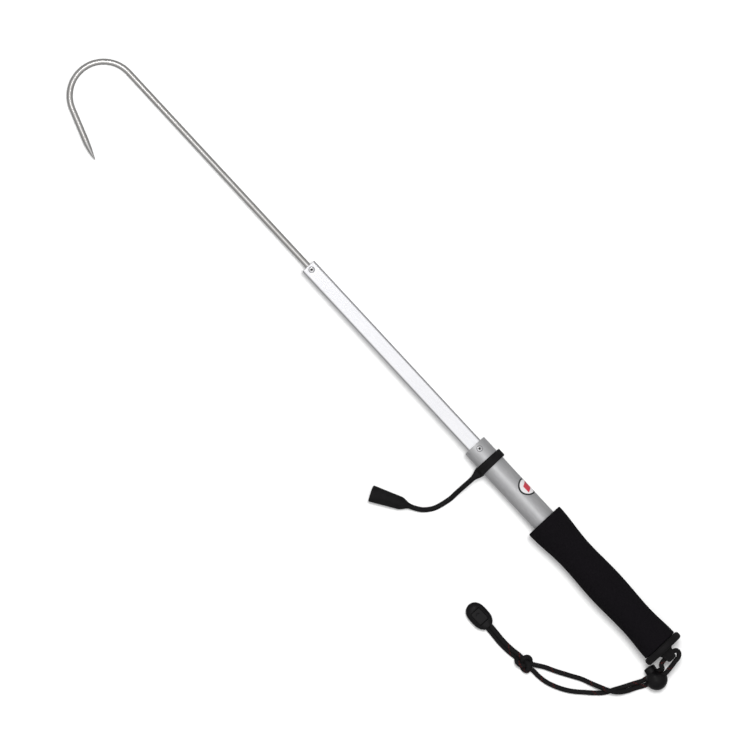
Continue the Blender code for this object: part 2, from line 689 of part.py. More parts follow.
def cord_lock_spring():
    start = LOCK_BORE_FLOOR + GAP + SPRING_WIRE
    end = BUTTON_TAIL - GAP - SPRING_WIRE
    count = SPRING_TURNS * 11
    points = []
    for i in range(count + 1):
        angle = 2 * math.pi * SPRING_TURNS * i / count
        points.append((SPRING_RADIUS * math.cos(angle), SPRING_RADIUS * math.sin(angle),
                       start + (end - start) * i / count))
    return wire("cord_lock_spring", points, SPRING_WIRE, "spring_steel", parent=LOCK)


# ---------------------------------------------------------------- lanyard
def lug_loop():
    """The cord's loop from the lock, round behind the lug, through it and back to the lock."""
    away = -(LOCK_RADIUS + GAP)
    near = LOCK_HOLE_CENTRE - LOCK_STRAND_OFFSET
    far = LOCK_HOLE_CENTRE + LOCK_STRAND_OFFSET
    route = [in_lock(away, 0, near), in_lock(away - 0.003, 0, near),
             on_tool(-0.0166, 0.0045, -0.0030), on_tool(-0.0158, -0.0008, 0.0002),
             on_tool(-0.0144, -0.0062, 0.0006), on_tool(-0.0112, -0.0098, 0.0004),
             on_tool(-0.0073, -0.0095, 0), on_tool(LUG_HOLE_STATION, -0.0065, 0),
             on_tool(LUG_HOLE_STATION, -0.0025, 0), on_tool(LUG_HOLE_STATION, 0.0025, 0),
             on_tool(LUG_HOLE_STATION, 0.0075, 0), on_tool(-0.0066, 0.0123, -0.0022),
             in_lock(away - 0.0022, 0.0010, far), in_lock(away + 0.0004, 0, far)]
    return wire("lanyard_lug_loop", smooth_route(route, 30), CORD_RADIUS, "braided_cord")


def wrist_strand(name, strand, route):
    """One side of the wrist loop, from the lock's mouth to the knot."""
    away = LOCK_RADIUS + GAP
    start = [in_lock(away, 0, strand), in_lock(away + 0.004, 0.0006, strand)]
    points = start + [on_table(*point) for point in route]
    return wire(name, smooth_route(points, 30), CORD_RADIUS, "braided_cord")


def wrist_loop():
    flat = CORD_RADIUS + 0.0001
    over = 3 * CORD_RADIUS + 3 * GAP
    outer = [(-0.0079, 0.0460, flat + 0.0002), (-0.0037, 0.0552, flat + 0.0020), (0.0018, 0.0628, 0.0068),
             (0.0090, 0.0680, over), (0.0175, 0.0722, 0.0066), (0.0270, 0.0766, 0.0034),
             (0.0357, 0.0803, flat), (0.0461, 0.0864, flat), (0.0582, 0.0934, flat),
             (0.0690, 0.0990, flat), (0.0765, 0.1040, flat + 0.0006)]
    inner = [(-0.0028, 0.0450, flat + 0.0002), (0.0020, 0.0545, flat), (0.0058, 0.0630, flat),
             (0.0103, 0.0728, flat), (0.0168, 0.0803, flat), (0.0249, 0.0880, flat),
             (0.0310, 0.0937, flat), (0.0385, 0.0993, flat), (0.0480, 0.1045, flat),
             (0.0572, 0.1081, flat), (0.0670, 0.1098, flat), (0.0755, 0.1101, flat + 0.0004)]
    wrist_strand("wrist_strand_outer", LOCK_HOLE_CENTRE - LOCK_STRAND_OFFSET, outer)
    wrist_strand("wrist_strand_inner", LOCK_HOLE_CENTRE + LOCK_STRAND_OFFSET, inner)


def lanyard_knot():
    mesh = bpy.data.meshes.new("lanyard_knot")
    shell = bmesh.new()
    bmesh.ops.create_uvsphere(shell, u_segments=20, v_segments=12, radius=1.0)
    bmesh.ops.scale(shell, vec=KNOT_HALF_SIZE, verts=shell.verts)
    shell.to_mesh(mesh)
    shell.free()
    mesh.shade_smooth()
    knot = bpy.data.objects.new("lanyard_knot", mesh)
    PARTS.objects.link(knot)
    return finish_object(knot, "braided_cord", None, on_table(*KNOT_PLACE, KNOT_HALF_SIZE[2]))


def tails():
    """The two cord tails from the knot to the cord end, one lying on the other."""
    start = KNOT_PLACE[0] + KNOT_HALF_SIZE[0] + 0.0006
    end = CORD_END_STATION - GAP
    for name, side, height in (("lanyard_tail_lower", 0.0012, CORD_RADIUS + 0.0001),
                               ("lanyard_tail_upper", -0.0014, 3 * CORD_RADIUS - 0.0004)):
        centres = [(start, 0.1118), (0.106, 0.1132), (0.117, 0.1137), (0.128, 0.1131), (end, 0.1125)]
        route = [on_table(station, across + side, height) for station, across in centres]
        wire(name, smooth_route(route, 10), CORD_RADIUS, "braided_cord")


def cord_end():
    """Egg-shaped shell over the cord's ends, closed by a rectangular lid."""
    sections = ((0.0, 0.45, 0.95), (0.22, 0.86, 1.0), (0.5, 1.0, 1.0), (0.78, 0.93, 0.98), (1.0, 0.62, 0.86))
    mesh = bpy.data.meshes.new("cord_end_shell")
    shell = bmesh.new()
    rings = []
    half_height = CORD_END_HEIGHT / 2
    for share, wide, tall in sections:
        outline = rounded_rectangle(CORD_END_HALF_WIDTH * wide, half_height * tall, half_height * 0.62 * tall, 3)
        rings.append([shell.verts.new((share * CORD_END_LENGTH, y, z)) for y, z in outline])
    for first, second in zip(rings, rings[1:]):
        for i in range(len(first)):
            j = (i + 1) % len(first)
            shell.faces.new((first[i], first[j], second[j], second[i]))
    shell.faces.new(reversed(rings[0]))
    shell.faces.new(rings[-1])
    bmesh.ops.recalc_face_normals(shell, faces=shell.faces)
    shell.to_mesh(mesh)
    shell.free()
    mesh.shade_smooth()
    mesh.set_sharp_from_angle(angle=math.radians(45))
    body = bpy.data.objects.new("cord_end_shell", mesh)
    PARTS.objects.link(body)
    place = on_table(CORD_END_STATION, CORD_END_SIDE, half_height)
    finish_object(body, "black_plastic", None, place)

    lid_length, lid_half_width, lid_depth = 0.0145, 0.0055, 0.0022
    lid_centre = on_table(CORD_END_STATION + 0.0128, CORD_END_SIDE, CORD_END_HEIGHT - 0.0005)
    opening = extruded("cord_end_opening",
                       [rounded_rectangle(lid_length / 2 + GAP, lid_half_width + GAP, 0.0012)],
                       2 * (lid_depth + GAP), "black_plastic", parent=None,
                       location=lid_centre, rotation=(0, 0, 0))
    cut(body, to_cutter(opening))
    lid_height = 0.0008
    lid = extruded("cord_end_lid", [rounded_rectangle(lid_length / 2, lid_half_width, 0.0010)],
                   lid_depth + lid_height, "black_plastic", parent=None,
                   location=lid_centre + Vector((0, 0, (lid_height - lid_depth) / 2)), rotation=(0, 0, 0))
    bevel = lid.modifiers.new("edges", "BEVEL")
    bevel.width = 0.0004
    bevel.segments = 2
    bevel.limit_method = "ANGLE"
    bevel.angle_limit = math.radians(60)


telescoping_sections()
foam_grip()
butt_cap()
label()
guard_ring()
guard_strap()
guard_sleeve()
cord_lock_body()
cord_lock_button()
cord_lock_spring()
lug_loop()
wrist_loop()
lanyard_knot()
tails()
cord_end()
bpy.context.view_layer.update()
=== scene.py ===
"""Looks of the telescopic landing hook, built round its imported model.

Metres throughout.  Pieces that lie along the tool are made in the tool's own frame:
+X from the butt towards the hook, +Y to the side the hook's point is on, +Z away from
the surface that it lies on, with station 0 at the back of the butt cap's rim.
"""
import json
import math

import bmesh
import bpy
from mathutils import Matrix, Vector


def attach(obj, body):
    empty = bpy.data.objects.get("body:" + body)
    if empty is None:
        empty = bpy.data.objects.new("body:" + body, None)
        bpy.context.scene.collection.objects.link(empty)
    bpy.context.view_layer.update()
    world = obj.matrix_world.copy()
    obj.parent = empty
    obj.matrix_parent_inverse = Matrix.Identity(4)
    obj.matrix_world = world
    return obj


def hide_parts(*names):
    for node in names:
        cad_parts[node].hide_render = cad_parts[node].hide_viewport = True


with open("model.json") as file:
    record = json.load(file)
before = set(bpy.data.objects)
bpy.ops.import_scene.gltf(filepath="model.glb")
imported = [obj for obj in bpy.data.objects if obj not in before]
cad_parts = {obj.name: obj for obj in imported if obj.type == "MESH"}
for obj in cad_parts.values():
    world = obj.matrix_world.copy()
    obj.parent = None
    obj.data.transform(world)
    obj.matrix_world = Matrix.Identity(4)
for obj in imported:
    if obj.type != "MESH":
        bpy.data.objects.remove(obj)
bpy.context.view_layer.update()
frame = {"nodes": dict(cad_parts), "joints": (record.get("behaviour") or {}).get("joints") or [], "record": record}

# ---- the tool's own frame
JOINTS = {joint["name"]: joint for joint in frame["joints"]}
MOUNTS = {mount["name"]: mount for mount in frame["record"]["mounts"]}
LUG_LENGTH = 0.0110
ALONG = Vector(JOINTS["middle_slide"]["axis"]).normalized()
SIDE = Vector((0.0, 1.0, 0.0))
UP = ALONG.cross(SIDE)
ORIGIN = Vector(MOUNTS["lug_end_face"]["pos_m"]) + ALONG * LUG_LENGTH


def frame_matrix(origin, x_axis, z_axis):
    y_axis = z_axis.cross(x_axis)
    rotation = Matrix((x_axis, y_axis, z_axis)).transposed().to_4x4()
    return Matrix.Translation(origin) @ rotation


TOOL = frame_matrix(ORIGIN, ALONG, UP)


def tool_box(node):
    """Lowest and highest corner of a CAD node in the tool's frame."""
    back = TOOL.inverted()
    points = [back @ vertex.co for vertex in frame["nodes"][node].data.vertices]
    low = Vector(min(point[axis] for point in points) for axis in range(3))
    high = Vector(max(point[axis] for point in points) for axis in range(3))
    return low, high


def middle_station(node):
    low, high = tool_box(node)
    return (low.x + high.x) / 2


def on_tool(station, side, height):
    return TOOL @ Vector((station, side, height))


def on_table(station, side, height):
    """A point beside the tool, at a height above the surface."""
    return Vector((ORIGIN.x + station, ORIGIN.y + side, height))


# ---- sizes
HANDLE_LOW, HANDLE_HIGH = tool_box("handle_tube")
HANDLE_RADIUS = HANDLE_HIGH.z
HANDLE_MOUTH = HANDLE_HIGH.x
HANDLE_WALL = 0.0010
MIDDLE_LOW, MIDDLE_HIGH = tool_box("middle_tube")
MIDDLE_HALF = MIDDLE_HIGH.z
MIDDLE_WALL = 0.0012
MIDDLE_CORNER = 0.0020
HOOK_TAIL = tool_box("hook")[0].x
GRIP_LOW, GRIP_HIGH = tool_box("foam_grip")
GAP = 0.0003

ROD_RADIUS = 0.0030
BEND_STATION = 0.7885
BEND_RADIUS = 0.0340
BEND_ANGLE = math.radians(160.0)
LEG_LENGTH = 0.0565
POINT_LENGTH = 0.0220
POINT_SHIFT = 0.0012

GRIP_WAISTS = [(0.008, 0.0193), (0.042, 0.0176), (0.088, 0.0189), (0.130, 0.0177), (0.178, 0.0208)]
RIM_RADIUS = 0.0220
RIM_LENGTH = 0.0075
RIM_EDGE = 0.0028
LUG_HOLE_STATION = -0.0055
LUG_HOLE_RADIUS = 0.0028

LABEL_STATION = 0.2145
LABEL_ANGLE = math.radians(59.0)
LABEL_HALF_LENGTH = 0.0092
LABEL_HALF_WIDTH = 0.0114
HANDLE_RIVET_ROLL = math.radians(7.0)

RING_STATION = 0.2570
TAB_END = 0.0240
STRAP_RADIUS = 0.0025
SLEEVE_NECK = (0.2810, 0.0897)
SLEEVE_YAW = math.radians(28.8)
SLEEVE_LENGTH = 0.0390
SLEEVE_SHOULDER = 0.0090
SLEEVE_SHOULDER_RADIUS = 0.0066
SLEEVE_MOUTH_RADIUS = 0.0085
SLEEVE_BORE_RADIUS = 0.0060

CORD_RADIUS = 0.0025
LOCK_RADIUS = 0.0110
LOCK_PLACE = (-0.0152, 0.0254)
LOCK_TILT = math.radians(35.0)
LOCK_BORE_RADIUS = 0.0063
LOCK_BORE_FLOOR = -0.0080
LOCK_HOLE_CENTRE = 0.0035
LOCK_HOLE_HALF_LENGTH = 0.0048
LOCK_HOLE_HALF_HEIGHT = 0.0027
LOCK_STRAND_OFFSET = 0.00265
BUTTON_TAIL = -0.0019
BUTTON_HEAD = 0.0152

KNOT_PLACE = (0.0865, 0.1113)
KNOT_HALF_SIZE = (0.0100, 0.0072, 0.0056)
CORD_END_STATION = 0.1385
CORD_END_SIDE = 0.1125
CORD_END_LENGTH = 0.0275
CORD_END_HALF_WIDTH = 0.0093
CORD_END_HEIGHT = 0.0118

PLUNGER_AXIS = Vector(JOINTS["lock_button_press"]["axis"]).normalized()
CORD_AXIS = Vector((-PLUNGER_AXIS.y * math.cos(LOCK_TILT),
                    PLUNGER_AXIS.x * math.cos(LOCK_TILT), -math.sin(LOCK_TILT)))
LOCK = frame_matrix(on_table(*LOCK_PLACE, LOCK_RADIUS), CORD_AXIS, PLUNGER_AXIS)


def in_lock(across, up, out):
    return LOCK @ Vector((across, up, out))


# ---- material building blocks
class Finish:
    """A Principled material with a few short-hands for its procedural nodes."""

    def __init__(self, name, colour, roughness, metallic=0.0, **sockets):
        self.material = bpy.data.materials.new(name)
        self.material.use_nodes = True
        self.tree = self.material.node_tree
        self.shader = self.tree.nodes["Principled BSDF"]
        self.shader.inputs["Base Color"].default_value = (*colour, 1.0)
        self.shader.inputs["Roughness"].default_value = roughness
        self.shader.inputs["Metallic"].default_value = metallic
        for socket, value in sockets.items():
            self.shader.inputs[socket.replace("_", " ")].default_value = value

    def node(self, kind, **values):
        made = self.tree.nodes.new(kind)
        for name, value in values.items():
            if name in made.inputs:
                made.inputs[name].default_value = value
            else:
                setattr(made, name, value)
        return made

    def link(self, source, target):
        self.tree.links.new(source, target)

    def place(self, output="Object", scale=(1, 1, 1)):
        """The piece's own coordinates, or its UVs, stretched by scale."""
        coordinates = self.node("ShaderNodeTexCoord")
        mapping = self.node("ShaderNodeMapping", Scale=scale)
        self.link(coordinates.outputs[output], mapping.inputs["Vector"])
        return mapping.outputs["Vector"]

    def noise(self, scale, detail=2.0, roughness=0.5, output="Object"):
        """Noise of a scale per metre, or of one scale for each axis."""
        stretch = scale if isinstance(scale, tuple) else (scale, scale, scale)
        texture = self.node("ShaderNodeTexNoise", Scale=1.0, Detail=detail, Roughness=roughness)
        self.link(self.place(output, stretch), texture.inputs["Vector"])
        return texture.outputs["Fac"]

    def cells(self, scale):
        texture = self.node("ShaderNodeTexVoronoi", Scale=scale)
        self.link(self.place(), texture.inputs["Vector"])
        return texture.outputs["Distance"]

    def attribute(self, name):
        return self.node("ShaderNodeAttribute", attribute_name=name).outputs["Fac"]

    def ramp(self, factor, low, high):
        """A colour ramp between two (position, colour) stops."""
        node = self.node("ShaderNodeValToRGB")
        for element, (position, colour) in zip(node.color_ramp.elements, (low, high)):
            element.position = position
            element.color = (*colour, 1.0)
        self.link(factor, node.inputs["Fac"])
        return node.outputs["Color"]

    def mix(self, factor, first, second):
        """Blends a colour output with a second colour by factor."""
        node = self.node("ShaderNodeMix", data_type="RGBA")
        self.link(factor, node.inputs[0])
        for socket, value in ((node.inputs[6], first), (node.inputs[7], second)):
            if isinstance(value, tuple):
                socket.default_value = (*value, 1.0)
            else:
                self.link(value, socket)
        return node.outputs[2]

    def tint(self, factor, low, high):
        self.link(self.ramp(factor, low, high), self.shader.inputs["Base Color"])

    def roughen(self, factor, low, high):
        """Roughness from low to high as the factor goes from 0 to 1."""
        node = self.node("ShaderNodeMapRange")
        node.inputs["To Min"].default_value = low
        node.inputs["To Max"].default_value = high
        self.link(factor, node.inputs["Value"])
        self.link(node.outputs["Result"], self.shader.inputs["Roughness"])

    def add(self, first, second, share=1.0):
        """first + second * share."""
        node = self.node("ShaderNodeMath", operation="MULTIPLY_ADD")
        self.link(second, node.inputs[0])
        node.inputs[1].default_value = share
        self.link(first, node.inputs[2])
        return node.outputs[0]

    def bump(self, height, distance, strength):
        """The last step of every finish; returns its material."""
        node = self.node("ShaderNodeBump", Strength=strength, Distance=distance)
        self.link(height, node.inputs["Height"])
        self.link(node.outputs["Normal"], self.shader.inputs["Normal"])
        return self.material


# ---- materials
def polished_steel():
    """Drawn and polished rod, with fine marks along it."""
    finish = Finish("polished_steel", (0.80, 0.79, 0.77), 0.16, 1.0)
    marks = finish.noise((360.0, 240.0, 6.0), 4.0, 0.6, "UV")
    smears = finish.noise(90.0, 3.0)
    finish.tint(smears, (0.25, (0.74, 0.72, 0.70)), (0.75, (0.84, 0.83, 0.82)))
    finish.roughen(finish.add(marks, smears, 0.6), 0.10, 0.24)
    return finish.bump(marks, 0.00002, 0.35)


def ground_steel():
    """The hook's point: ground across, rougher than the rod."""
    finish = Finish("ground_steel", (0.80, 0.79, 0.78), 0.24, 1.0)
    marks = finish.noise((2.0, 4200.0, 1.0), 3.0, 0.7, "UV")
    finish.roughen(marks, 0.16, 0.36)
    return finish.bump(marks, 0.00003, 0.5)


def bright_aluminium():
    """Square tube: bright anodised, with faint extrusion lines along it."""
    finish = Finish("bright_aluminium", (0.92, 0.92, 0.95), 0.26, 1.0)
    lines = finish.noise((6.0, 1800.0, 1800.0), 3.0, 0.6)
    cloud = finish.noise(60.0, 3.0)
    finish.tint(cloud, (0.3, (0.90, 0.90, 0.93)), (0.7, (0.95, 0.95, 0.975)))
    finish.roughen(finish.add(lines, cloud, 0.5), 0.20, 0.32)
    return finish.bump(lines, 0.00002, 0.3)


def satin_aluminium():
    """Handle tube: grey anodised over a fine etched surface, slightly mottled."""
    finish = Finish("satin_aluminium", (0.50, 0.51, 0.52), 0.42, 0.78)
    mottle = finish.noise((140.0, 420.0, 420.0), 4.0, 0.6)
    grain = finish.noise(2600.0, 2.0)
    finish.tint(mottle, (0.3, (0.57, 0.57, 0.58)), (0.7, (0.64, 0.64, 0.65)))
    finish.roughen(finish.add(grain, mottle, 0.6), 0.26, 0.40)
    return finish.bump(grain, 0.00003, 0.35)


def rivet_aluminium():
    """Rivet heads: soft aluminium with tool marks."""
    finish = Finish("rivet_aluminium", (0.84, 0.84, 0.86), 0.30, 1.0)
    marks = finish.noise(1500.0, 3.0, 0.6)
    finish.roughen(marks, 0.12, 0.26)
    return finish.bump(marks, 0.00002, 0.3)


def mandrel_painted_shade():
    """Broken end of a rivet's mandrel, down in its hole: dull and rough, with painted shade making it near-black.
    """
    # Painted shade: the base colour and its tints are near-black and stand for the shade down in the rivet's hole.
    finish = Finish("mandrel_painted_shade", (0.05, 0.05, 0.05), 0.6, 0.6)
    break_marks = finish.noise(2600.0, 3.0)
    finish.tint(break_marks, (0.3, (0.035, 0.035, 0.036)), (0.7, (0.085, 0.083, 0.080)))
    finish.roughen(break_marks, 0.50, 0.75)
    return finish.bump(break_marks, 0.00008, 0.5)


def eva_foam():
    """Sanded closed-cell foam: deep black, matt, with open cells under half a millimetre."""
    finish = Finish("eva_foam", (0.006, 0.006, 0.007), 0.85, Specular_IOR_Level=0.06)
    cells = finish.cells(2300.0)
    nap = finish.noise(900.0, 4.0, 0.65)
    finish.tint(nap, (0.3, (0.0034, 0.0029, 0.0038)), (0.75, (0.0080, 0.0070, 0.0084)))
    finish.roughen(cells, 0.78, 0.95)
    return finish.bump(finish.add(cells, nap, 0.8), 0.00025, 0.55)


def black_rubber():
    """Moulded rubber with a faint satin bloom and a spark-eroded mould's grain."""
    finish = Finish("black_rubber", (0.006, 0.006, 0.006), 0.52, Specular_IOR_Level=0.18)
    bloom = finish.noise(130.0, 4.0, 0.6)
    grain = finish.noise(1500.0, 3.0, 0.6)
    finish.tint(bloom, (0.3, (0.0036, 0.0033, 0.0036)), (0.8, (0.0090, 0.0084, 0.0090)))
    finish.roughen(finish.add(grain, bloom, 0.5), 0.40, 0.66)
    return finish.bump(grain, 0.00008, 0.4)


def black_plastic():
    """Moulded nylon: satin, with a very fine grain and a few rubbed places."""
    finish = Finish("black_plastic", (0.003, 0.003, 0.003), 0.30, Specular_IOR_Level=0.24)
    rubbed = finish.noise(160.0, 4.0, 0.65)
    grain = finish.noise(2600.0, 2.0)
    finish.tint(rubbed, (0.35, (0.0022, 0.0020, 0.0024)), (0.85, (0.0060, 0.0056, 0.0062)))
    finish.roughen(finish.add(grain, rubbed, 0.7), 0.20, 0.34)
    return finish.bump(grain, 0.00005, 0.35)


def nylon():
    """Natural nylon of the bushes and sliders, a little cloudy."""
    finish = Finish("nylon", (0.72, 0.72, 0.70), 0.48, Subsurface_Weight=0.10)
    cloud = finish.noise(400.0, 3.0)
    finish.tint(cloud, (0.3, (0.66, 0.66, 0.63)), (0.7, (0.76, 0.76, 0.74)))
    return finish.bump(cloud, 0.00005, 0.3)


def spring_steel():
    """Spring wire and pins: plain steel with draw marks."""
    finish = Finish("spring_steel", (0.45, 0.45, 0.46), 0.30, 1.0)
    marks = finish.noise(1800.0, 3.0)
    finish.roughen(marks, 0.22, 0.42)
    return finish.bump(marks, 0.00002, 0.3)


def ink(name, colour, fade):
    """Gloss print on vinyl, with its slightly uneven coverage."""
    finish = Finish(name, colour, 0.34, Coat_Weight=0.25, Coat_Roughness=0.2)
    cover = finish.noise(700.0, 4.0, 0.6)
    paler = tuple(channel * fade for channel in colour)
    finish.tint(cover, (0.3, colour), (0.75, paler))
    return finish.bump(cover, 0.00002, 0.25)


def braided_cord():
    """Polyester braid: black yarns with one dark red tracer, fibres along each yarn, and painted shade in the
    grooves between the yarns.
    """
    finish = Finish("braided_cord", (0.008, 0.008, 0.008), 0.72, Specular_IOR_Level=0.12)
    fibres = finish.noise((70.0, 5200.0, 1.0), 3.0, 0.7, "UV")
    # Painted shade: the yarns' colour darkens from their crowns down into the grooves between them, following the
    # braid's relief.
    yarn = finish.ramp(finish.attribute("crown"),
                       (0.05, (0.0015, 0.0015, 0.0017)), (0.9, (0.0120, 0.0115, 0.0120)))
    coloured = finish.mix(finish.attribute("tracer"), yarn, (0.060, 0.010, 0.009))
    finish.link(coloured, finish.shader.inputs["Base Color"])
    finish.roughen(fibres, 0.60, 0.85)
    return finish.bump(fibres, 0.00008, 0.5)


def pale_floor():
    """Matt white, lit a little from itself so that it stays pale far from the lights."""
    finish = Finish("studio_floor", (0.80, 0.80, 0.80), 0.9, Specular_IOR_Level=0.1,
                    Emission_Color=(1.0, 1.0, 1.0, 1.0), Emission_Strength=0.13)
    return finish.material


POLISHED_STEEL = polished_steel()
GROUND_STEEL = ground_steel()
BRIGHT_ALUMINIUM = bright_aluminium()
SATIN_ALUMINIUM = satin_aluminium()
RIVET_ALUMINIUM = rivet_aluminium()
MANDREL_PAINTED_SHADE = mandrel_painted_shade()
EVA_FOAM = eva_foam()
BLACK_RUBBER = black_rubber()
BLACK_PLASTIC = black_plastic()
NYLON = nylon()
SPRING_STEEL = spring_steel()
BRAIDED_CORD = braided_cord()
WHITE_VINYL = ink("white_vinyl", (0.62, 0.60, 0.61), 1.06)
BLACK_INK = ink("black_ink", (0.012, 0.014, 0.014), 1.6)
RED_INK = ink("red_ink", (0.42, 0.025, 0.045), 1.25)


# ---- mesh helpers
def arc(centre_x, centre_y, radius, start, end, count):
    """Points on an arc, angles in degrees, both ends included."""
    angles = [math.radians(start + (end - start) * i / count) for i in range(count + 1)]
    return [(centre_x + radius * math.cos(a), centre_y + radius * math.sin(a)) for a in angles]


def rounded_rectangle(half_x, half_y, corner, count=6):
    """Points round a rectangle about the origin, with count steps to a corner."""
    points = []
    for start, sign_x, sign_y in ((0, 1, 1), (90, -1, 1), (180, -1, -1), (270, 1, -1)):
        points += arc(sign_x * (half_x - corner), sign_y * (half_y - corner), corner, start, start + 90, count)
    return points


def bridge(shell, rings, end_cap=True, loop=False):
    """Quads between rings of points, with UVs: turns round the ring, metres along the rings.

    The last ring is joined to the first in a loop; otherwise both ends are capped.
    """
    layer = shell.loops.layers.uv.verify()
    rows = [[shell.verts.new(point) for point in ring] for ring in rings]
    count = len(rows[0])
    travel = [0.0]
    for first, second in zip(rings, rings[1:]):
        travel.append(travel[-1] + (Vector(second[0]) - Vector(first[0])).length)
    pairs = [(k, k + 1) for k in range(len(rows) - 1)]
    if loop:
        pairs.append((len(rows) - 1, 0))
    for k, after in pairs:
        for i in range(count):
            j = (i + 1) % count
            face = shell.faces.new((rows[k][i], rows[k][j], rows[after][j], rows[after][i]))
            for corner, uv in zip(face.loops, ((i, k), (i + 1, k), (i + 1, k + 1), (i, k + 1))):
                corner[layer].uv = (uv[0] / count, travel[min(uv[1], len(travel) - 1)])
    if not loop:
        shell.faces.new(list(reversed(rows[0])))
    if end_cap and not loop:
        shell.faces.new(rows[-1])
    return rows


def closed(rings, loop=False):
    """A new bmesh with one closed skin over the rings."""
    shell = bmesh.new()
    bridge(shell, rings, loop=loop)
    return shell


def prism(outline, low, high):
    """A new bmesh: a flat (x, y) outline made solid between two heights."""
    return closed([[Vector((x, y, z)) for x, y in outline] for z in (low, high)])


def squarish(half_x, half_y, power, sides):
    """Points round an ellipse that a power below 1 fills out towards its corners."""
    points = []
    for k in range(sides):
        cosine, sine = math.cos(2 * math.pi * k / sides), math.sin(2 * math.pi * k / sides)
        points.append((half_x * math.copysign(abs(cosine) ** power, cosine),
                       half_y * math.copysign(abs(sine) ** power, sine)))
    return points


def turned_rings(profile, sides):
    """Rings about +Z from (radius, height) points."""
    rings = []
    for radius, height in profile:
        circle = arc(0, 0, radius, 0, 360 * (sides - 1) / sides, sides - 1)
        rings.append([Vector((x, y, height)) for x, y in circle])
    return rings


def along_x(rings):
    """Turns rings made about +Z so that they stand about +X."""
    return [[Vector((point.z, point.x, point.y)) for point in ring] for ring in rings]


def finish_piece(name, shell, materials, body, nodes=(), matrix=None, sharp=35.0):
    """A mesh object from a bmesh, riding on a body and standing for CAD nodes."""
    bmesh.ops.recalc_face_normals(shell, faces=shell.faces)
    mesh = bpy.data.meshes.new(name)
    shell.to_mesh(mesh)
    shell.free()
    return place_mesh(name, mesh, materials, body, nodes, matrix, sharp)


def place_mesh(name, mesh, materials, body, nodes=(), matrix=None, sharp=35.0):
    mesh.shade_smooth()
    mesh.set_sharp_from_angle(angle=math.radians(sharp))
    piece = bpy.data.objects.new(name, mesh)
    bpy.context.scene.collection.objects.link(piece)
    for material in materials if isinstance(materials, list) else [materials]:
        mesh.materials.append(material)
    if matrix is not None:
        piece.matrix_world = matrix
    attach(piece, body)
    if nodes:
        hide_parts(*nodes)
    return piece


def scratch_object(shell):
    """A temporary object for modifiers, from a bmesh."""
    bmesh.ops.recalc_face_normals(shell, faces=shell.faces)
    mesh = bpy.data.meshes.new("scratch")
    shell.to_mesh(mesh)
    shell.free()
    item = bpy.data.objects.new("scratch", mesh)
    bpy.context.scene.collection.objects.link(item)
    return item


def melt(item, voxel, rounds):
    """Fuses everything in a scratch object into one skin and softens its edges."""
    remesh = item.modifiers.new("fuse", "REMESH")
    remesh.mode = "VOXEL"
    remesh.voxel_size = voxel
    smooth = item.modifiers.new("soften", "SMOOTH")
    smooth.factor = 0.5
    smooth.iterations = rounds


def carve(item, cutter):
    modifier = item.modifiers.new("carve", "BOOLEAN")
    modifier.operation = "DIFFERENCE"
    modifier.solver = "EXACT"
    modifier.object = cutter


def moulded_piece(name, shell, cutter_shells, voxel, rounds, material, body, node, matrix,
                  crisp_cuts=False):
    """One soft-edged skin over all of a bmesh, cut by others before it is softened.

    With crisp_cuts they cut it afterwards, and their edges stay sharp.
    """
    item = scratch_object(shell)
    cutters = [scratch_object(cutter) for cutter in cutter_shells]
    if crisp_cuts:
        melt(item, voxel, rounds)
    for cutter in cutters:
        carve(item, cutter)
    if not crisp_cuts:
        melt(item, voxel, rounds)
    bpy.context.view_layer.update()
    evaluated = item.evaluated_get(bpy.context.evaluated_depsgraph_get())
    mesh = bpy.data.meshes.new_from_object(evaluated)
    mesh.name = name
    for scratch in [item] + cutters:
        bpy.data.objects.remove(scratch, do_unlink=True)
    place_mesh(name, mesh, material, body, [node], matrix)


def smooth_route(points, step):
    """Evenly stepped points on a smooth curve through the given route points."""
    ends = [points[0] * 2 - points[1]] + list(points) + [points[-1] * 2 - points[-2]]
    fine = []
    for i in range(1, len(ends) - 2):
        before, start, end, after = ends[i - 1:i + 3]
        for k in range(32):
            t = k / 32
            fine.append(0.5 * (2 * start + (end - before) * t
                               + (2 * before - 5 * start + 4 * end - after) * t ** 2
                               + (3 * start - before - 3 * end + after) * t ** 3))
    fine.append(points[-1].copy())
    travelled = [0.0]
    for first, second in zip(fine, fine[1:]):
        travelled.append(travelled[-1] + (second - first).length)
    count = max(2, round(travelled[-1] / step))
    route, k = [], 0
    for i in range(count + 1):
        target = travelled[-1] * i / count
        while k < len(fine) - 2 and travelled[k + 1] < target:
            k += 1
        share = (target - travelled[k]) / (travelled[k + 1] - travelled[k])
        route.append(fine[k].lerp(fine[k + 1], share))
    return route, travelled[-1]


def carried_frames(route):
    """Two unit vectors across the route at each point, carried along without twist."""
    normal = Vector((0, 0, 1))
    frames = []
    for i, point in enumerate(route):
        heading = (route[min(i + 1, len(route) - 1)] - route[max(i - 1, 0)]).normalized()
        normal = (normal - heading * normal.dot(heading)).normalized()
        frames.append((normal, heading.cross(normal)))
    return frames


def tube_rings(route, radius_at, sides):
    """Rings round a route; radius_at(turn, travel, number of the ring) is the radius there."""
    rings, travel = [], 0.0
    for i, (point, (normal, binormal)) in enumerate(zip(route, carried_frames(route))):
        if i:
            travel += (point - route[i - 1]).length
        ring = []
        for k in range(sides):
            angle = 2 * math.pi * k / sides
            radius = radius_at(k / sides, travel, i)
            ring.append(point + normal * (radius * math.cos(angle)) + binormal * (radius * math.sin(angle)))
        rings.append(ring)
    return rings


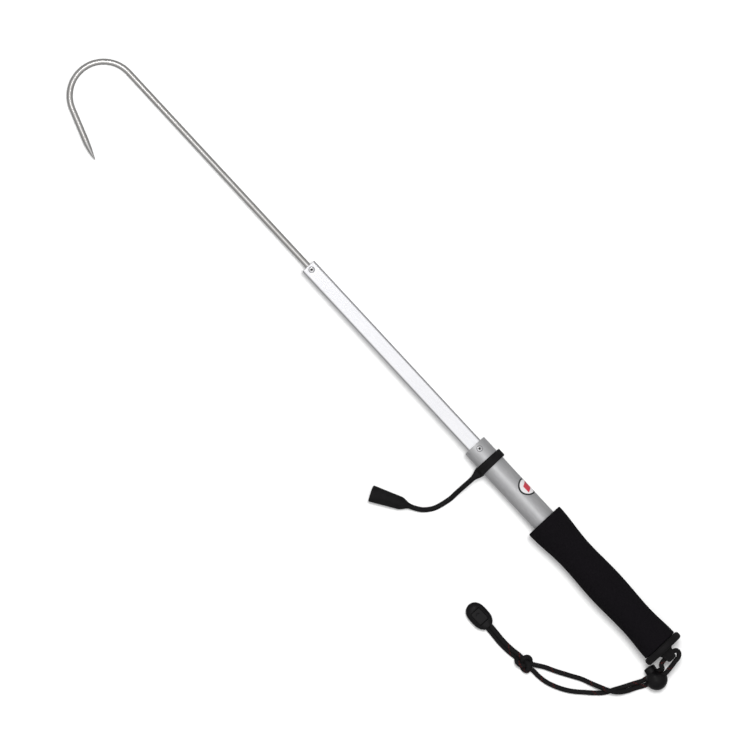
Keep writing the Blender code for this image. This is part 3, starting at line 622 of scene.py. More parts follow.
# ---- camera, lights and floor
CAMERA_HEIGHT = 9.0
CAMERA_STATION = (-0.0080, -0.0060)
CAMERA_RIGHT = Vector((-0.6799, -0.7334, 0.0)).normalized()
VIEW_WIDTH = 0.7491        # seen across the picture at half the height of the tool's axis
SENSOR_WIDTH = 36.0
FLOOR_HALF = 6.0
FLOOR_DROP = 0.0002
LIGHTS = (                 # name, place, size, watts, seen in reflections
    ("key_light", (0.03, -0.50, 2.67), 0.70, 60.0, False),
    ("fill_light", (-0.7, 1.6, 1.5), 1.2, 3.0, False),
    ("sheen_light", (0.70, -0.20, 1.65), 0.30, 1.6, True))
ROOM_TOP = (0.0, 0.087, 0.996)
ROOM_LEVELS = ((0.0, 0.26), (0.40, 0.34), (0.75, 0.46), (0.93, 0.58), (0.975, 1.10))


def studio_camera():
    """Looks straight down."""
    camera = bpy.data.objects.new("camera", bpy.data.cameras.new("camera"))
    bpy.context.scene.collection.objects.link(camera)
    bpy.context.scene.camera = camera
    place = Vector((*CAMERA_STATION, CAMERA_HEIGHT))
    camera.matrix_world = frame_matrix(place, CAMERA_RIGHT, Vector((0, 0, 1)))
    camera.data.sensor_width = SENSOR_WIDTH
    camera.data.lens = SENSOR_WIDTH * (CAMERA_HEIGHT - ORIGIN.z / 2) / VIEW_WIDTH


def studio_floor():
    """Just under the tool, and not seen in the metals."""
    shell = bmesh.new()
    bmesh.ops.create_grid(shell, x_segments=2, y_segments=2, size=FLOOR_HALF)
    mesh = bpy.data.meshes.new("studio_floor")
    shell.to_mesh(mesh)
    shell.free()
    mesh.materials.append(pale_floor())
    floor = bpy.data.objects.new("studio_floor", mesh)
    floor.location = (0, 0, -FLOOR_DROP)
    floor.visible_glossy = False
    bpy.context.scene.collection.objects.link(floor)


def studio_lights():
    """Square lights aimed at the middle of the floor."""
    for name, place, size, power, reflected in LIGHTS:
        data = bpy.data.lights.new(name, "AREA")
        data.size = size
        data.energy = power
        light = bpy.data.objects.new(name, data)
        light.location = place
        light.visible_glossy = reflected
        light.rotation_euler = (-Vector(place)).to_track_quat("-Z", "Y").to_euler()
        bpy.context.scene.collection.objects.link(light)


def studio_room():
    """Grey light from all round, brightest near ROOM_TOP."""
    world = bpy.data.worlds.new("studio")
    world.use_nodes = True
    bpy.context.scene.world = world
    nodes, links = world.node_tree.nodes, world.node_tree.links
    coordinates = nodes.new("ShaderNodeTexCoord")
    lean = nodes.new("ShaderNodeVectorMath")
    lean.operation = "DOT_PRODUCT"
    lean.inputs[1].default_value = ROOM_TOP
    ramp = nodes.new("ShaderNodeValToRGB")
    elements = ramp.color_ramp.elements
    for element, (position, level) in zip(elements, (ROOM_LEVELS[0], ROOM_LEVELS[-1])):
        element.position = position
        element.color = (level, level, level, 1.0)
    for position, level in ROOM_LEVELS[1:-1]:
        elements.new(position).color = (level, level, level, 1.0)
    links.new(coordinates.outputs["Generated"], lean.inputs[0])
    links.new(lean.outputs["Value"], ramp.inputs["Fac"])
    links.new(ramp.outputs["Color"], nodes["Background"].inputs["Color"])
    bpy.context.scene.view_settings.view_transform = "Standard"


studio_camera()
studio_floor()
studio_lights()
studio_room()


# ---- lanyard cords
CARRIERS = 8              # yarns each way round the braid
PICK = 0.00175            # length of one crossing
STEPS_A_PICK = 6
BRAID_RELIEF = 0.00028
TRACER_YARN = 2
TRACER_SHOWS = 0.047      # the tracer comes to the surface for half of this length


def braid(turn, travel):
    """Relief (0 groove to 1 crown) and whether the yarn on top is the tracer."""
    rising = turn * CARRIERS - travel / PICK
    falling = turn * CARRIERS + travel / PICK
    rising_on_top = (math.floor(rising) + math.floor(falling)) % 2 == 0
    across, along = (rising, falling) if rising_on_top else (falling, rising)
    crown = math.sin(math.pi * (across % 1.0)) ** 0.5 * (0.5 + 0.5 * math.sin(math.pi * (along % 1.0)))
    shows = math.sin(2 * math.pi * travel / TRACER_SHOWS) > 0.1
    tracer = shows and rising_on_top and math.floor(rising) % CARRIERS == TRACER_YARN
    return crown, 1.0 if tracer else 0.0


def braided_tube(name, points, nodes, first_turn, radius=CORD_RADIUS):
    """A braided cord along route points; returns the piece, its path and its length."""
    route, length = smooth_route(points, PICK / STEPS_A_PICK)
    sides = CARRIERS * STEPS_A_PICK
    middle = 0.5 * PICK / STEPS_A_PICK

    def radius_at(turn, travel, _):
        crown = braid(turn + first_turn + 0.5 / sides, travel + middle)[0]
        return radius - BRAID_RELIEF * (1.0 - crown)

    rings = tube_rings(route, radius_at, sides)
    piece = finish_piece(name, closed(rings), BRAIDED_CORD, "handle", nodes, sharp=80.0)
    step = length / (len(route) - 1)
    crowns, tracers = [], []
    for i in range(len(rings)):
        for k in range(sides):
            crown, tracer = braid(k / sides + first_turn + 0.5 / sides, i * step + middle)
            crowns.append(crown)
            tracers.append(tracer)
    # The crown attribute hands the braid's relief to the material, which paints shade into the grooves from it.
    for attribute, values in (("crown", crowns), ("tracer", tracers)):
        layer = piece.data.attributes.new(attribute, "FLOAT", "POINT")
        layer.data.foreach_set("value", values)
    return piece, route, length


def free_cord(name, points, nodes, first_turn):
    """A braided cord that lies loose."""
    piece, route, length = braided_tube(name, points, nodes, first_turn)


def lug_loop():
    """From the lock, round behind the lug, through it and back to the lock."""
    away = -(LOCK_RADIUS + GAP)
    near = LOCK_HOLE_CENTRE - LOCK_STRAND_OFFSET
    far = LOCK_HOLE_CENTRE + LOCK_STRAND_OFFSET
    inside = 0.0045
    route = [in_lock(away + inside, 0, near), in_lock(away, 0, near), in_lock(away - 0.003, 0, near),
             on_tool(-0.0150, 0.0052, -0.0030), on_tool(-0.0139, -0.0002, 0.0002),
             on_tool(-0.0132, -0.0052, 0.0006), on_tool(-0.0106, -0.0086, 0.0004),
             on_tool(-0.0072, -0.0088, 0), on_tool(LUG_HOLE_STATION, -0.0064, 0),
             on_tool(LUG_HOLE_STATION, -0.0025, 0), on_tool(LUG_HOLE_STATION, 0.0025, 0),
             on_tool(LUG_HOLE_STATION, 0.0075, 0), on_tool(-0.0070, 0.0120, -0.0022),
             in_lock(away - 0.0022, 0.0010, far), in_lock(away + 0.0004, 0, far),
             in_lock(away + inside, 0, far)]
    free_cord("lanyard_loop_cord", route, ["lanyard_lug_loop"], 0.30)


def wrist_strand(name, strand, route, node, first_turn):
    """One side of the wrist loop, from inside the lock's mouth to inside the knot."""
    away = LOCK_RADIUS + GAP
    inside = 0.0045
    start = [in_lock(away - inside, 0, strand), in_lock(away, 0, strand), in_lock(away + 0.004, 0.0006, strand)]
    points = start + [on_table(*point) for point in route]
    free_cord(name, points, [node], first_turn)


def wrist_loop():
    """The outer strand rises over the inner one close to the lock, then both lie on the surface."""
    flat = CORD_RADIUS + 0.0001
    over = 3 * CORD_RADIUS + 3 * GAP
    outer = [(-0.0079, 0.0460, flat + 0.0002), (-0.0037, 0.0552, flat + 0.0020), (0.0018, 0.0628, 0.0068),
             (0.0090, 0.0680, over), (0.0175, 0.0722, 0.0066), (0.0270, 0.0766, 0.0034),
             (0.0357, 0.0803, flat), (0.0461, 0.0864, flat), (0.0582, 0.0934, flat),
             (0.0690, 0.0990, flat), (0.0765, 0.1040, flat + 0.0006), (0.0840, 0.1090, flat + 0.0020)]
    inner = [(-0.0031, 0.0450, flat + 0.0002), (0.0013, 0.0545, flat), (0.0055, 0.0630, flat),
             (0.0103, 0.0728, flat), (0.0168, 0.0803, flat), (0.0249, 0.0880, flat),
             (0.0310, 0.0937, flat), (0.0385, 0.0993, flat), (0.0480, 0.1045, flat),
             (0.0572, 0.1081, flat), (0.0670, 0.1098, flat), (0.0755, 0.1101, flat + 0.0004),
             (0.0840, 0.1120, flat + 0.0020)]
    wrist_strand("wrist_cord_outer", LOCK_HOLE_CENTRE - LOCK_STRAND_OFFSET, outer, "wrist_strand_outer", 0.0)
    wrist_strand("wrist_cord_inner", LOCK_HOLE_CENTRE + LOCK_STRAND_OFFSET, inner, "wrist_strand_inner", 0.45)


def tail_cords():
    """The two tails from the knot to the cord end, one lying on the other."""
    inside = 0.0055
    start = KNOT_PLACE[0] + KNOT_HALF_SIZE[0] + 0.0006
    end = CORD_END_STATION - GAP
    for name, node, side, height, turn in (
            ("tail_cord_lower", "lanyard_tail_lower", 0.0019, CORD_RADIUS + 0.0001, 0.2),
            ("tail_cord_upper", "lanyard_tail_upper", -0.0020, 0.0058, 0.6)):
        centres = [(start - inside, 0.1113), (start, 0.1118), (0.106, 0.1132), (0.117, 0.1137),
                   (0.128, 0.1131), (end, 0.1125), (end + 0.0030, 0.1125)]
        route = [on_table(station, across + side, height) for station, across in centres]
        free_cord(name, route, [node], turn)


def knot():
    """Overhand knot drawn up tight round the doubled cord: one strand crossing itself three times."""
    centre = on_table(*KNOT_PLACE, KNOT_HALF_SIZE[2])
    strand = 0.0026
    reach = [half * swell - strand for half, swell in zip(KNOT_HALF_SIZE, (1.10, 1.32, 1.0))]
    points = []
    for i in range(49):
        t = 2 * math.pi * i / 48 + math.radians(20)
        x = (math.sin(t) + 2 * math.sin(2 * t)) / 3
        y = (math.cos(t) - 2 * math.cos(2 * t)) / 3
        points.append(centre + Vector((x * reach[0], y * reach[1], -math.sin(3 * t) * reach[2])))
    braided_tube("overhand_knot", points, ["lanyard_knot"], 0.1, strand)


# ---- cord end
LID_HALF_LENGTH = 0.00725
LID_HALF_WIDTH = 0.0055
LID_STATION = 0.0138       # from the cord's side of the case
LID_PROUD = 0.0004
POCKET_GAP = 0.0004
ABOVE_CASE = 0.02


def cord_end_case(matrix):
    """Egg-shaped case over the cord's ends, with a pocket in its top for the lid."""
    half_height = CORD_END_HEIGHT / 2
    rings, count = [], 40
    for i in range(count + 1):
        share = i / count
        reach = 2 * share - 1
        wide = (1 - abs(reach) ** 2.8) ** 0.5 if reach > 0 else (1 - 0.50 * abs(reach) ** 3.4)
        tall = (1 - abs(reach) ** 3.2) ** 0.5 if reach > 0 else (1 - 0.10 * abs(reach) ** 3)
        wide, tall = max(wide, 0.10), max(tall, 0.12)
        station = share * (CORD_END_LENGTH + 0.0022)
        outline = squarish((CORD_END_HALF_WIDTH + 0.0007) * wide, half_height * tall, 0.78, 48)
        rings.append([Vector((station, y, z)) for y, z in outline])
    outline = rounded_rectangle(LID_HALF_LENGTH + POCKET_GAP, LID_HALF_WIDTH + POCKET_GAP, 0.0014)
    pocket = prism([(LID_STATION + x, y) for x, y in outline], half_height - 0.0028, ABOVE_CASE)
    moulded_piece("cord_end_case", closed(rings), [pocket], 0.00022, 3,
                  BLACK_PLASTIC, "handle", "cord_end_shell", matrix)


def cord_end_cover(matrix):
    """Rectangular lid with a thumbnail groove."""
    half_height = CORD_END_HEIGHT / 2
    top = half_height + LID_PROUD
    outline = rounded_rectangle(LID_HALF_LENGTH, LID_HALF_WIDTH, 0.0012)
    levels = ((half_height - 0.0027, 1.0), (top - 0.0005, 1.0), (top, 0.955))
    rings = [[Vector((LID_STATION + x * scale, y * scale, z)) for x, y in outline] for z, scale in levels]
    groove = arc(LID_STATION + LID_HALF_LENGTH - 0.0052, 0, 0.0021, -80, 80, 10)
    groove += list(reversed(arc(LID_STATION + LID_HALF_LENGTH - 0.0052, 0, 0.0014, -80, 80, 10)))
    moulded_piece("cord_end_cover", closed(rings), [prism(groove, top - 0.0004, ABOVE_CASE)], 0.00018, 2,
                  BLACK_PLASTIC, "handle", "cord_end_lid", matrix)


def cord_end():
    matrix = Matrix.Translation(on_table(CORD_END_STATION - 0.0012, CORD_END_SIDE, CORD_END_HEIGHT / 2))
    cord_end_case(matrix)
    cord_end_cover(matrix)


lug_loop()
wrist_loop()
knot()
cord_end()
tail_cords()


# ---- cord lock
def lock_slot(centre):
    """Cutter for the cord's way through the lock."""
    outline = rounded_rectangle(LOCK_HOLE_HALF_HEIGHT, LOCK_HOLE_HALF_LENGTH, LOCK_HOLE_HALF_HEIGHT - 0.0004)
    return closed([[Vector((x, y, centre + z)) for y, z in outline] for x in (-0.015, 0.015)])


def cord_lock():
    """A ball with a bore for its plunger, and the cord's way through both."""
    rim = math.sqrt(LOCK_RADIUS ** 2 - (LOCK_BORE_RADIUS + 0.0006) ** 2)
    start = math.degrees(math.atan2(rim, LOCK_BORE_RADIUS + 0.0006))
    profile = arc(0, 0, LOCK_RADIUS, -89.0, start, 40)
    profile += [(LOCK_BORE_RADIUS + 0.0002, rim - 0.0001), (LOCK_BORE_RADIUS, rim - 0.0006),
                (LOCK_BORE_RADIUS, LOCK_BORE_FLOOR), (0.0002, LOCK_BORE_FLOOR)]
    moulded_piece("cord_lock_ball", closed(turned_rings(profile, 64)), [lock_slot(LOCK_HOLE_CENTRE)],
                  0.00026, 4, BLACK_PLASTIC, "handle", "cord_lock_body", LOCK)

    radius = LOCK_BORE_RADIUS - GAP
    profile = [(0.0002, BUTTON_TAIL), (radius, BUTTON_TAIL)]
    profile += arc(radius - 0.0016, BUTTON_HEAD - 0.0022, 0.0016, 0, 65, 8)
    profile += [(0.0036, BUTTON_HEAD - 0.0004), (0.0020, BUTTON_HEAD - 0.0001), (0.0002, BUTTON_HEAD)]
    slot = lock_slot(LOCK_HOLE_CENTRE + 0.0010)
    moulded_piece("cord_lock_plunger", closed(turned_rings(profile, 64)), [slot], 0.00022, 3,
                  BLACK_PLASTIC, "lock_button", "cord_lock_button", LOCK)


cord_lock()


# ---- telescoping tubes
def dimple(station, side, height, centres, depth, reach):
    """Inward push where a rivet has drawn the wall in; centres are (station, side, height)."""
    push = 0.0
    for centre in centres:
        distance = (Vector((station, side, height)) - Vector(centre)).length
        push += depth * math.exp(-(distance / reach) ** 2)
    return push


def graded_stations(start, end, centre, reach, fine, coarse):
    """Stations from start to end, closer together near a centre."""
    stations, station = [start], start
    while station < end - fine / 2:
        station += fine if abs(station - centre) < reach else coarse
        stations.append(min(station, end))
    return stations


def handle_tube_piece():
    rivet = middle_station("mouth_rivet_top")
    centres = [(rivet, -HANDLE_RADIUS * math.sin(roll), HANDLE_RADIUS * math.cos(roll))
               for roll in (HANDLE_RIVET_ROLL, HANDLE_RIVET_ROLL + math.pi)]
    edge = 0.0003
    inner = HANDLE_RADIUS - HANDLE_WALL
    outside = [(HANDLE_RADIUS, s) for s in
               graded_stations(HANDLE_LOW.x, HANDLE_MOUTH - edge, rivet, 0.009, 0.0005, 0.004)]
    profile = outside + [(HANDLE_RADIUS - edge * 0.3, HANDLE_MOUTH - edge * 0.3),
                         (HANDLE_RADIUS - edge, HANDLE_MOUTH), (inner + edge, HANDLE_MOUTH),
                         (inner, HANDLE_MOUTH - edge), (inner, HANDLE_LOW.x)]
    rings = along_x(turned_rings(profile, 144))
    for ring in rings:
        for point in ring:
            push = dimple(*point, centres, 0.00030, 0.0040)
            radius = math.hypot(point.y, point.z)
            point.y *= 1 - push / radius
            point.z *= 1 - push / radius
    finish_piece("handle_outer_tube", closed(rings, loop=True), SATIN_ALUMINIUM, "handle",
                 ["handle_tube"], TOOL)


def square_outline(half, corner, across):
    """Rounded square whose flats carry extra points, for detail near the rivets."""
    corners = rounded_rectangle(half, half, corner)
    outline = []
    for i, point in enumerate(corners):
        outline.append(point)
        after = corners[(i + 1) % len(corners)]
        if (Vector(after) - Vector(point)).length > corner * 2:
            outline += [tuple(Vector(point).lerp(Vector(after), k / across)) for k in range(1, across)]
    return outline


def middle_tube_piece():
    rivet = middle_station("middle_rivet_top")
    centres = [(rivet, 0, MIDDLE_HALF), (rivet, 0, -MIDDLE_HALF)]
    edge = 0.00025
    outline = square_outline(MIDDLE_HALF, MIDDLE_CORNER, 16)
    stations = graded_stations(MIDDLE_LOW.x, MIDDLE_HIGH.x - edge, rivet, 0.009, 0.0005, 0.006)
    rings = [[Vector((s, y, z)) for y, z in outline] for s in stations]
    inner = MIDDLE_HALF - MIDDLE_WALL
    for half, station in ((MIDDLE_HALF - edge * 0.8, MIDDLE_HIGH.x), (inner + edge, MIDDLE_HIGH.x),
                          (inner, MIDDLE_HIGH.x - edge), (inner, MIDDLE_LOW.x)):
        corner = max(MIDDLE_CORNER - (MIDDLE_HALF - half), 0.0008)
        rings.append([Vector((station, y, z)) for y, z in square_outline(half, corner, 16)])
    for ring in rings:
        for point in ring:
            push = dimple(*point, centres, 0.00026, 0.0038)
            point.z -= math.copysign(push, point.z)
    finish_piece("square_tube", closed(rings, loop=True), BRIGHT_ALUMINIUM, "middle_section",
                 ["middle_tube"], TOOL)


def rivet_head(node, body, name):
    """Domed head with a mandrel hole and the broken mandrel inside it."""
    station = middle_station(node)
    roll = HANDLE_RIVET_ROLL if node.startswith("mouth") else 0.0
    if node.endswith("bottom"):
        roll += math.pi
    surface = HANDLE_RADIUS if node.startswith("mouth") else MIDDLE_HALF
    height, radius = 0.00115, 0.00325
    profile = [(0.0002, height - 0.0008), (0.00118, height - 0.0008), (0.00122, height - 0.0003),
               (0.00138, height - 0.00005)]
    profile += [(radius * share, height * (1 - share ** 6 * 0.78))
                for share in (0.47, 0.56, 0.66, 0.76, 0.86, 0.94)]
    profile += [(radius, height * 0.16), (radius, 0), (radius * 0.93, -0.0001),
                (0.0016, -0.0002), (0.0016, -0.0030), (0.0002, -0.0030)]
    shell = bmesh.new()
    rows = bridge(shell, turned_rings(profile, 48))
    # The hole's floor takes the mandrel's material, painted near-black as the hole's shade.
    for vertex in rows[0]:
        for face in vertex.link_faces:
            face.material_index = 1
    matrix = TOOL @ Matrix.Rotation(roll, 4, "X") @ Matrix.Translation((station, 0, surface + GAP / 2 - 0.0001))
    finish_piece(name, shell, [RIVET_ALUMINIUM, MANDREL_PAINTED_SHADE], body, [node], matrix)


def hook_piece():
    """Rod with a round bend, a flared leg and a point ground down to a needle."""
    heading = BEND_ANGLE - math.pi / 2
    leg_start = Vector((BEND_STATION + BEND_RADIUS * math.cos(heading),
                        BEND_RADIUS * (1 + math.sin(heading)), 0))
    leg = Vector((-math.sin(heading), math.cos(heading), 0))
    inward = Vector((-leg.y, leg.x, 0))
    route = [Vector((HOOK_TAIL + (BEND_STATION - HOOK_TAIL) * i / 60, 0, 0)) for i in range(60)]
    bend = arc(BEND_STATION, BEND_RADIUS, BEND_RADIUS, -90, math.degrees(BEND_ANGLE) - 90, 72)
    route += [Vector((x, y, 0)) for x, y in bend]
    straight = LEG_LENGTH - POINT_LENGTH
    route += [leg_start + leg * (straight * i / 10) for i in range(1, 10)]
    ground = len(route)
    steps = 44
    scale = [1.0] * ground
    for i in range(steps + 1):
        share = i / steps
        route.append(leg_start + leg * (straight + POINT_LENGTH * share) + inward * (POINT_SHIFT * share ** 2))
        scale.append(0.045 + 0.955 * (1 - share ** 1.75))
    sides = 48

    def radius_at(turn, _, i):
        share = max(0.0, (i - ground) / steps)
        flats = 1 - 0.07 * min(1.0, share * 3) * (0.5 - 0.5 * math.cos(8 * math.pi * turn))
        return ROD_RADIUS * scale[i] * flats

    shell = closed(tube_rings(route, radius_at, sides))
    shell.faces.index_update()
    for face in shell.faces:
        if face.index >= (ground + 1) * sides:
            face.material_index = 1
    finish_piece("hook_rod", shell, [POLISHED_STEEL, GROUND_STEEL], "hook_section",
                 ["hook"], TOOL, sharp=45.0)


handle_tube_piece()
middle_tube_piece()
rivet_head("mouth_rivet_top", "handle", "handle_rivet_upper")
rivet_head("mouth_rivet_bottom", "handle", "handle_rivet_lower")
rivet_head("middle_rivet_top", "middle_section", "square_rivet_upper")
rivet_head("middle_rivet_bottom", "middle_section", "square_rivet_lower")
hook_piece()


# ---- label
def wrapped(station, angle, radius):
    """A point on a cylinder round the tool; the angle runs from the top towards -Y."""
    return Vector((station, -radius * math.sin(angle), radius * math.cos(angle)))


def label_piece():
    """Oval vinyl sticker: black outline, white field and a plain red lozenge."""
    skin = HANDLE_RADIUS + 0.00010
    spokes, rows = 72, 14
    half_length = LABEL_HALF_LENGTH + 0.0007
    outline_share = 0.84
    shares = [i / rows * outline_share for i in range(1, rows + 1)] + [0.93, 0.985, 1.0]
    shell = bmesh.new()
    rings = []
    for share in shares:
        lift = 0.0 if share < 0.99 else -0.00007
        rings.append([wrapped(LABEL_STATION + half_length * share * math.cos(t),
                              LABEL_ANGLE + LABEL_HALF_WIDTH * share * math.sin(t) / skin, skin + lift)
                      for t in (2 * math.pi * k / spokes for k in range(spokes))])
    bridge(shell, rings, end_cap=False)
    shell.faces.index_update()
    for face in shell.faces:
        if face.index >= (rows - 1) * spokes and len(face.verts) == 4:
            face.material_index = 1
    finish_piece("oval_label", shell, [WHITE_VINYL, BLACK_INK], "handle", ["label"], TOOL)

    shell = bmesh.new()
    columns, levels = 8, 10
    reach, half_width, slant = 0.0042, 0.0049, 0.0018
    grid = [[wrapped(LABEL_STATION + reach * (2 * i / columns - 1) + slant * (2 * j / levels - 1),
                     LABEL_ANGLE + half_width * (2 * j / levels - 1) / skin, skin + 0.00002)
             for i in range(columns + 1)] for j in range(levels + 1)]
    vertices = [[shell.verts.new(point) for point in row] for row in grid]
    for j in range(levels):
        for i in range(columns):
            shell.faces.new((vertices[j][i], vertices[j][i + 1], vertices[j + 1][i + 1], vertices[j + 1][i]))
    finish_piece("label_lozenge", shell, RED_INK, "handle", (), TOOL)


label_piece()


# ---- grip and butt cap
def grip_radius(station):
    for (start, low), (end, high) in zip(GRIP_WAISTS, GRIP_WAISTS[1:]):
        if station <= end:
            share = (station - start) / (end - start)
            return low + (high - low) * (1 - math.cos(math.pi * share)) / 2
    return GRIP_WAISTS[-1][1]


def grip_piece():
    """Foam sleeve: waisted and flared, its ends cut square and their edges rubbed round."""
    back, front = GRIP_LOW.x - 0.0005, GRIP_HIGH.x
    bore = HANDLE_RADIUS + 0.00005
    edge = 0.0015
    count = 150
    profile = [(bore, front - 0.0006), (bore + 0.0006, front)]
    profile += arc(grip_radius(front) - edge, front - edge, edge, 90, 8, 7)
    stations = [front - edge + (back + edge - front + edge) * i / count for i in range(count + 1)]
    profile += [(grip_radius(station), station) for station in stations]
    profile += arc(grip_radius(back) - 0.0008, back + 0.0008, 0.0008, 0, -90, 4)
    profile += [(bore, back)]
    shell = closed(along_x(turned_rings(profile, 128)), loop=True)
    piece = finish_piece("foam_sleeve", shell, EVA_FOAM, "handle", ["foam_grip"], TOOL)


def butt_cap_piece():
    """Rubber rim and lug, moulded in one, with a pocket in the lug and a hole for the cord."""
    centre = RIM_RADIUS - RIM_EDGE
    profile = [(0.0003, RIM_LENGTH), (centre - 0.001, RIM_LENGTH)]
    profile += arc(centre, RIM_LENGTH - RIM_EDGE, RIM_EDGE, 90, 0, 8)
    profile += arc(centre, RIM_EDGE, RIM_EDGE, 0, -90, 8)
    profile += [(0.0003, 0)]
    shell = closed(along_x(turned_rings(profile, 128)))
    corner, end, root = 0.0025, 0.0052, 0.0076
    outline = [(0.003, -root - 0.0006), (0.003, root + 0.0006),
               (-0.0004, root + 0.0004), (-0.0014, root - 0.0006)]
    outline += arc(corner - LUG_LENGTH, end - corner, corner, 70, 180, 8)
    outline += arc(corner - LUG_LENGTH, corner - end, corner, 180, 290, 8)
    outline += [(-0.0014, 0.0006 - root), (-0.0004, -root - 0.0004)]
    half = 0.0062
    levels = ((-half, 0.93), (-half + 0.0003, 0.975), (-half + 0.0009, 1.0), (half - 0.0009, 1.0),
              (half - 0.0003, 0.975), (half, 0.93))
    rings = [[Vector((x * scale, y * scale, z)) for x, y in outline] for z, scale in levels]
    bridge(shell, rings)
    profile = [(LUG_HOLE_RADIUS + 0.0008, -0.02), (LUG_HOLE_RADIUS, -0.006), (LUG_HOLE_RADIUS, 0.006),
               (LUG_HOLE_RADIUS + 0.0008, 0.02)]
    cutters = [closed([[Vector((LUG_HOLE_STATION + point.x, point.z, point.y)) for point in ring]
                       for ring in turned_rings(profile, 40)])]
    outline = [(x - 0.0054, y) for x, y in rounded_rectangle(0.0031, 0.0030, 0.0009)]
    cutters += [prism(outline, side * (half - 0.0009), side * 0.02) for side in (1, -1)]
    moulded_piece("butt_cap_moulding", shell, cutters, 0.00034, 3,
                  BLACK_RUBBER, "handle", "butt_cap", TOOL, crisp_cuts=True)


grip_piece()
butt_cap_piece()


# ---- point guard
def guard_ring_piece():
    """Band round the handle, wider on the strap's side, with the tab the strap grows from."""
    bore = HANDLE_RADIUS + GAP
    outer = bore + 0.0027
    edge = 0.0007
    shell = bmesh.new()
    rings, sides = [], 120
    section = [(0.002, -1.0), (outer - edge, -1.0), (outer - edge * 0.3, -0.93), (outer, -0.82),
               (outer, 0.82), (outer - edge * 0.3, 0.93), (outer - edge, 1.0), (0.002, 1.0)]
    for radius, share in section:
        ring = []
        for k in range(sides):
            angle = 2 * math.pi * k / sides
            half = 0.0044 + 0.0004 * (1 + math.cos(angle)) / 2
            ring.append(Vector((share * half, radius * math.cos(angle), radius * math.sin(angle))))
        rings.append(ring)
    bridge(shell, rings)

    rings = []
    for y, half_width, half_height in (
            (0.0080, 0.0052, 0.0034), (0.0120, 0.0055, 0.0034), (0.0150, 0.0053, 0.0032),
            (0.0175, 0.0046, 0.0029), (0.0200, 0.0036, 0.0027), (0.0220, 0.0029, 0.0026),
            (TAB_END + 0.0002, 0.0026, 0.0025)):
        rings.append([Vector((x, y, z)) for x, z in squarish(half_width, half_height, 0.8, 40)])
    bridge(shell, rings)
    cutter = closed(along_x(turned_rings([(bore, -0.02), (bore, 0.02)], 144)))
    moulded_piece("guard_band", shell, [cutter], 0.00030, 6, BLACK_RUBBER, "point_guard",
                  "guard_ring", TOOL @ Matrix.Translation((RING_STATION, 0, 0)), crisp_cuts=True)


def sleeve_slope():
    return math.asin((SLEEVE_MOUTH_RADIUS - SLEEVE_SHOULDER_RADIUS) / (SLEEVE_LENGTH - SLEEVE_SHOULDER))


def sleeve_axis_height(distance):
    slope = sleeve_slope()
    return SLEEVE_SHOULDER_RADIUS / math.cos(slope) + (distance - SLEEVE_SHOULDER) * math.sin(slope)


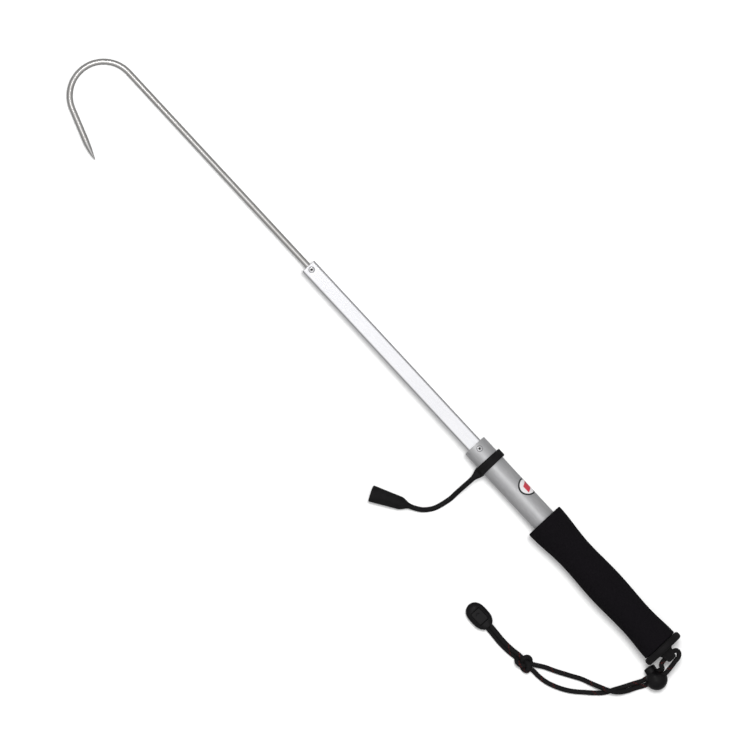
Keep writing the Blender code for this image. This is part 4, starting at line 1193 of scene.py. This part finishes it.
def guard_sleeve_piece():
    """Hollow rubber cap for the hook's point, flared a little to its square-cut mouth."""
    profile = [(0.0003, 0.0130), (SLEEVE_BORE_RADIUS * 0.5, 0.0133), (SLEEVE_BORE_RADIUS * 0.8, 0.0150),
               (SLEEVE_BORE_RADIUS * 0.92, 0.0190), (SLEEVE_BORE_RADIUS, SLEEVE_LENGTH - 0.0012),
               (SLEEVE_BORE_RADIUS + 0.0003, SLEEVE_LENGTH - 0.0003),
               (SLEEVE_BORE_RADIUS + 0.0007, SLEEVE_LENGTH), (SLEEVE_MOUTH_RADIUS - 0.0005, SLEEVE_LENGTH),
               (SLEEVE_MOUTH_RADIUS - 0.0001, SLEEVE_LENGTH - 0.0003),
               (SLEEVE_MOUTH_RADIUS, SLEEVE_LENGTH - 0.0008)]
    for i in range(1, 21):
        share = i / 20
        distance = SLEEVE_LENGTH - 0.0008 + (SLEEVE_SHOULDER - SLEEVE_LENGTH + 0.0008) * share
        radius = SLEEVE_MOUTH_RADIUS + (SLEEVE_SHOULDER_RADIUS - SLEEVE_MOUTH_RADIUS) * share
        profile.append((radius, distance))
    neck_radius, neck_reach = 0.00262, 0.0030
    for i in range(1, 17):
        share = i / 16
        blend = 0.5 + 0.5 * math.cos(math.pi * share)
        distance = SLEEVE_SHOULDER - (SLEEVE_SHOULDER + neck_reach) * share
        profile.append((neck_radius + (SLEEVE_SHOULDER_RADIUS - neck_radius) * blend, distance))
    profile.append((0.0003, -neck_reach))
    shell = closed(turned_rings(profile, 80))
    heading = Vector((math.cos(SLEEVE_YAW) * math.cos(sleeve_slope()),
                      math.sin(SLEEVE_YAW) * math.cos(sleeve_slope()), math.sin(sleeve_slope())))
    across = Vector((0, 0, 1)).cross(heading).normalized()
    matrix = frame_matrix(on_table(*SLEEVE_NECK, sleeve_axis_height(0)), across, heading)
    finish_piece("guard_point_cap", shell, BLACK_RUBBER, "point_guard",
                 ["guard_sleeve"], matrix)
    return heading


def guard_strap_piece(sleeve_heading):
    """Rubber strap from the band's tab down to the surface and on to the point cap."""
    start = on_tool(RING_STATION, TAB_END + GAP, 0)
    neck = on_table(SLEEVE_NECK[0] - GAP, SLEEVE_NECK[1] - GAP / 2, sleeve_axis_height(0))
    points = [on_tool(RING_STATION, TAB_END - 0.0016, 0.0001), start, on_tool(RING_STATION, 0.0280, -0.0001),
              on_table(0.2571, 0.0360, 0.0140), on_table(0.2572, 0.0450, 0.0074), on_table(0.2573, 0.0555, 0.0034),
              on_table(0.2606, 0.0708, 0.0026), on_table(0.2665, 0.0803, 0.0029), on_table(0.2735, 0.0858, 0.0043),
              neck, neck + sleeve_heading * 0.0014]
    route, length = smooth_route(points, 0.0007)

    def radius_at(turn, travel, _):
        seam = 0.00012 * (math.exp(-((turn - 0.25) / 0.02) ** 2) + math.exp(-((turn - 0.75) / 0.02) ** 2))
        ends = 0.00015 * (math.exp(-travel / 0.003) + math.exp(-(length - travel) / 0.003))
        return STRAP_RADIUS - 0.00005 + ends + seam

    shell = closed(tube_rings(route, radius_at, 48))
    piece = finish_piece("guard_tether", shell, BLACK_RUBBER, "point_guard",
                         ["guard_strap"], sharp=60.0)


guard_ring_piece()
guard_strap_piece(guard_sleeve_piece())


# ---- CAD nodes that stay as they are
for node, material, slot in (
        ("mouth_bush", NYLON, "nylon"), ("middle_bush", NYLON, "nylon"), ("middle_slider", NYLON, "nylon"),
        ("hook_slider", NYLON, "nylon"), ("middle_slider_pin", SPRING_STEEL, "spring_steel"),
        ("hook_slider_pin", SPRING_STEEL, "spring_steel"), ("cord_lock_spring", SPRING_STEEL, "spring_steel")):
    kept = frame["nodes"][node]
    kept.data.materials.clear()
    kept.data.materials.append(material)

bpy.context.view_layer.update()
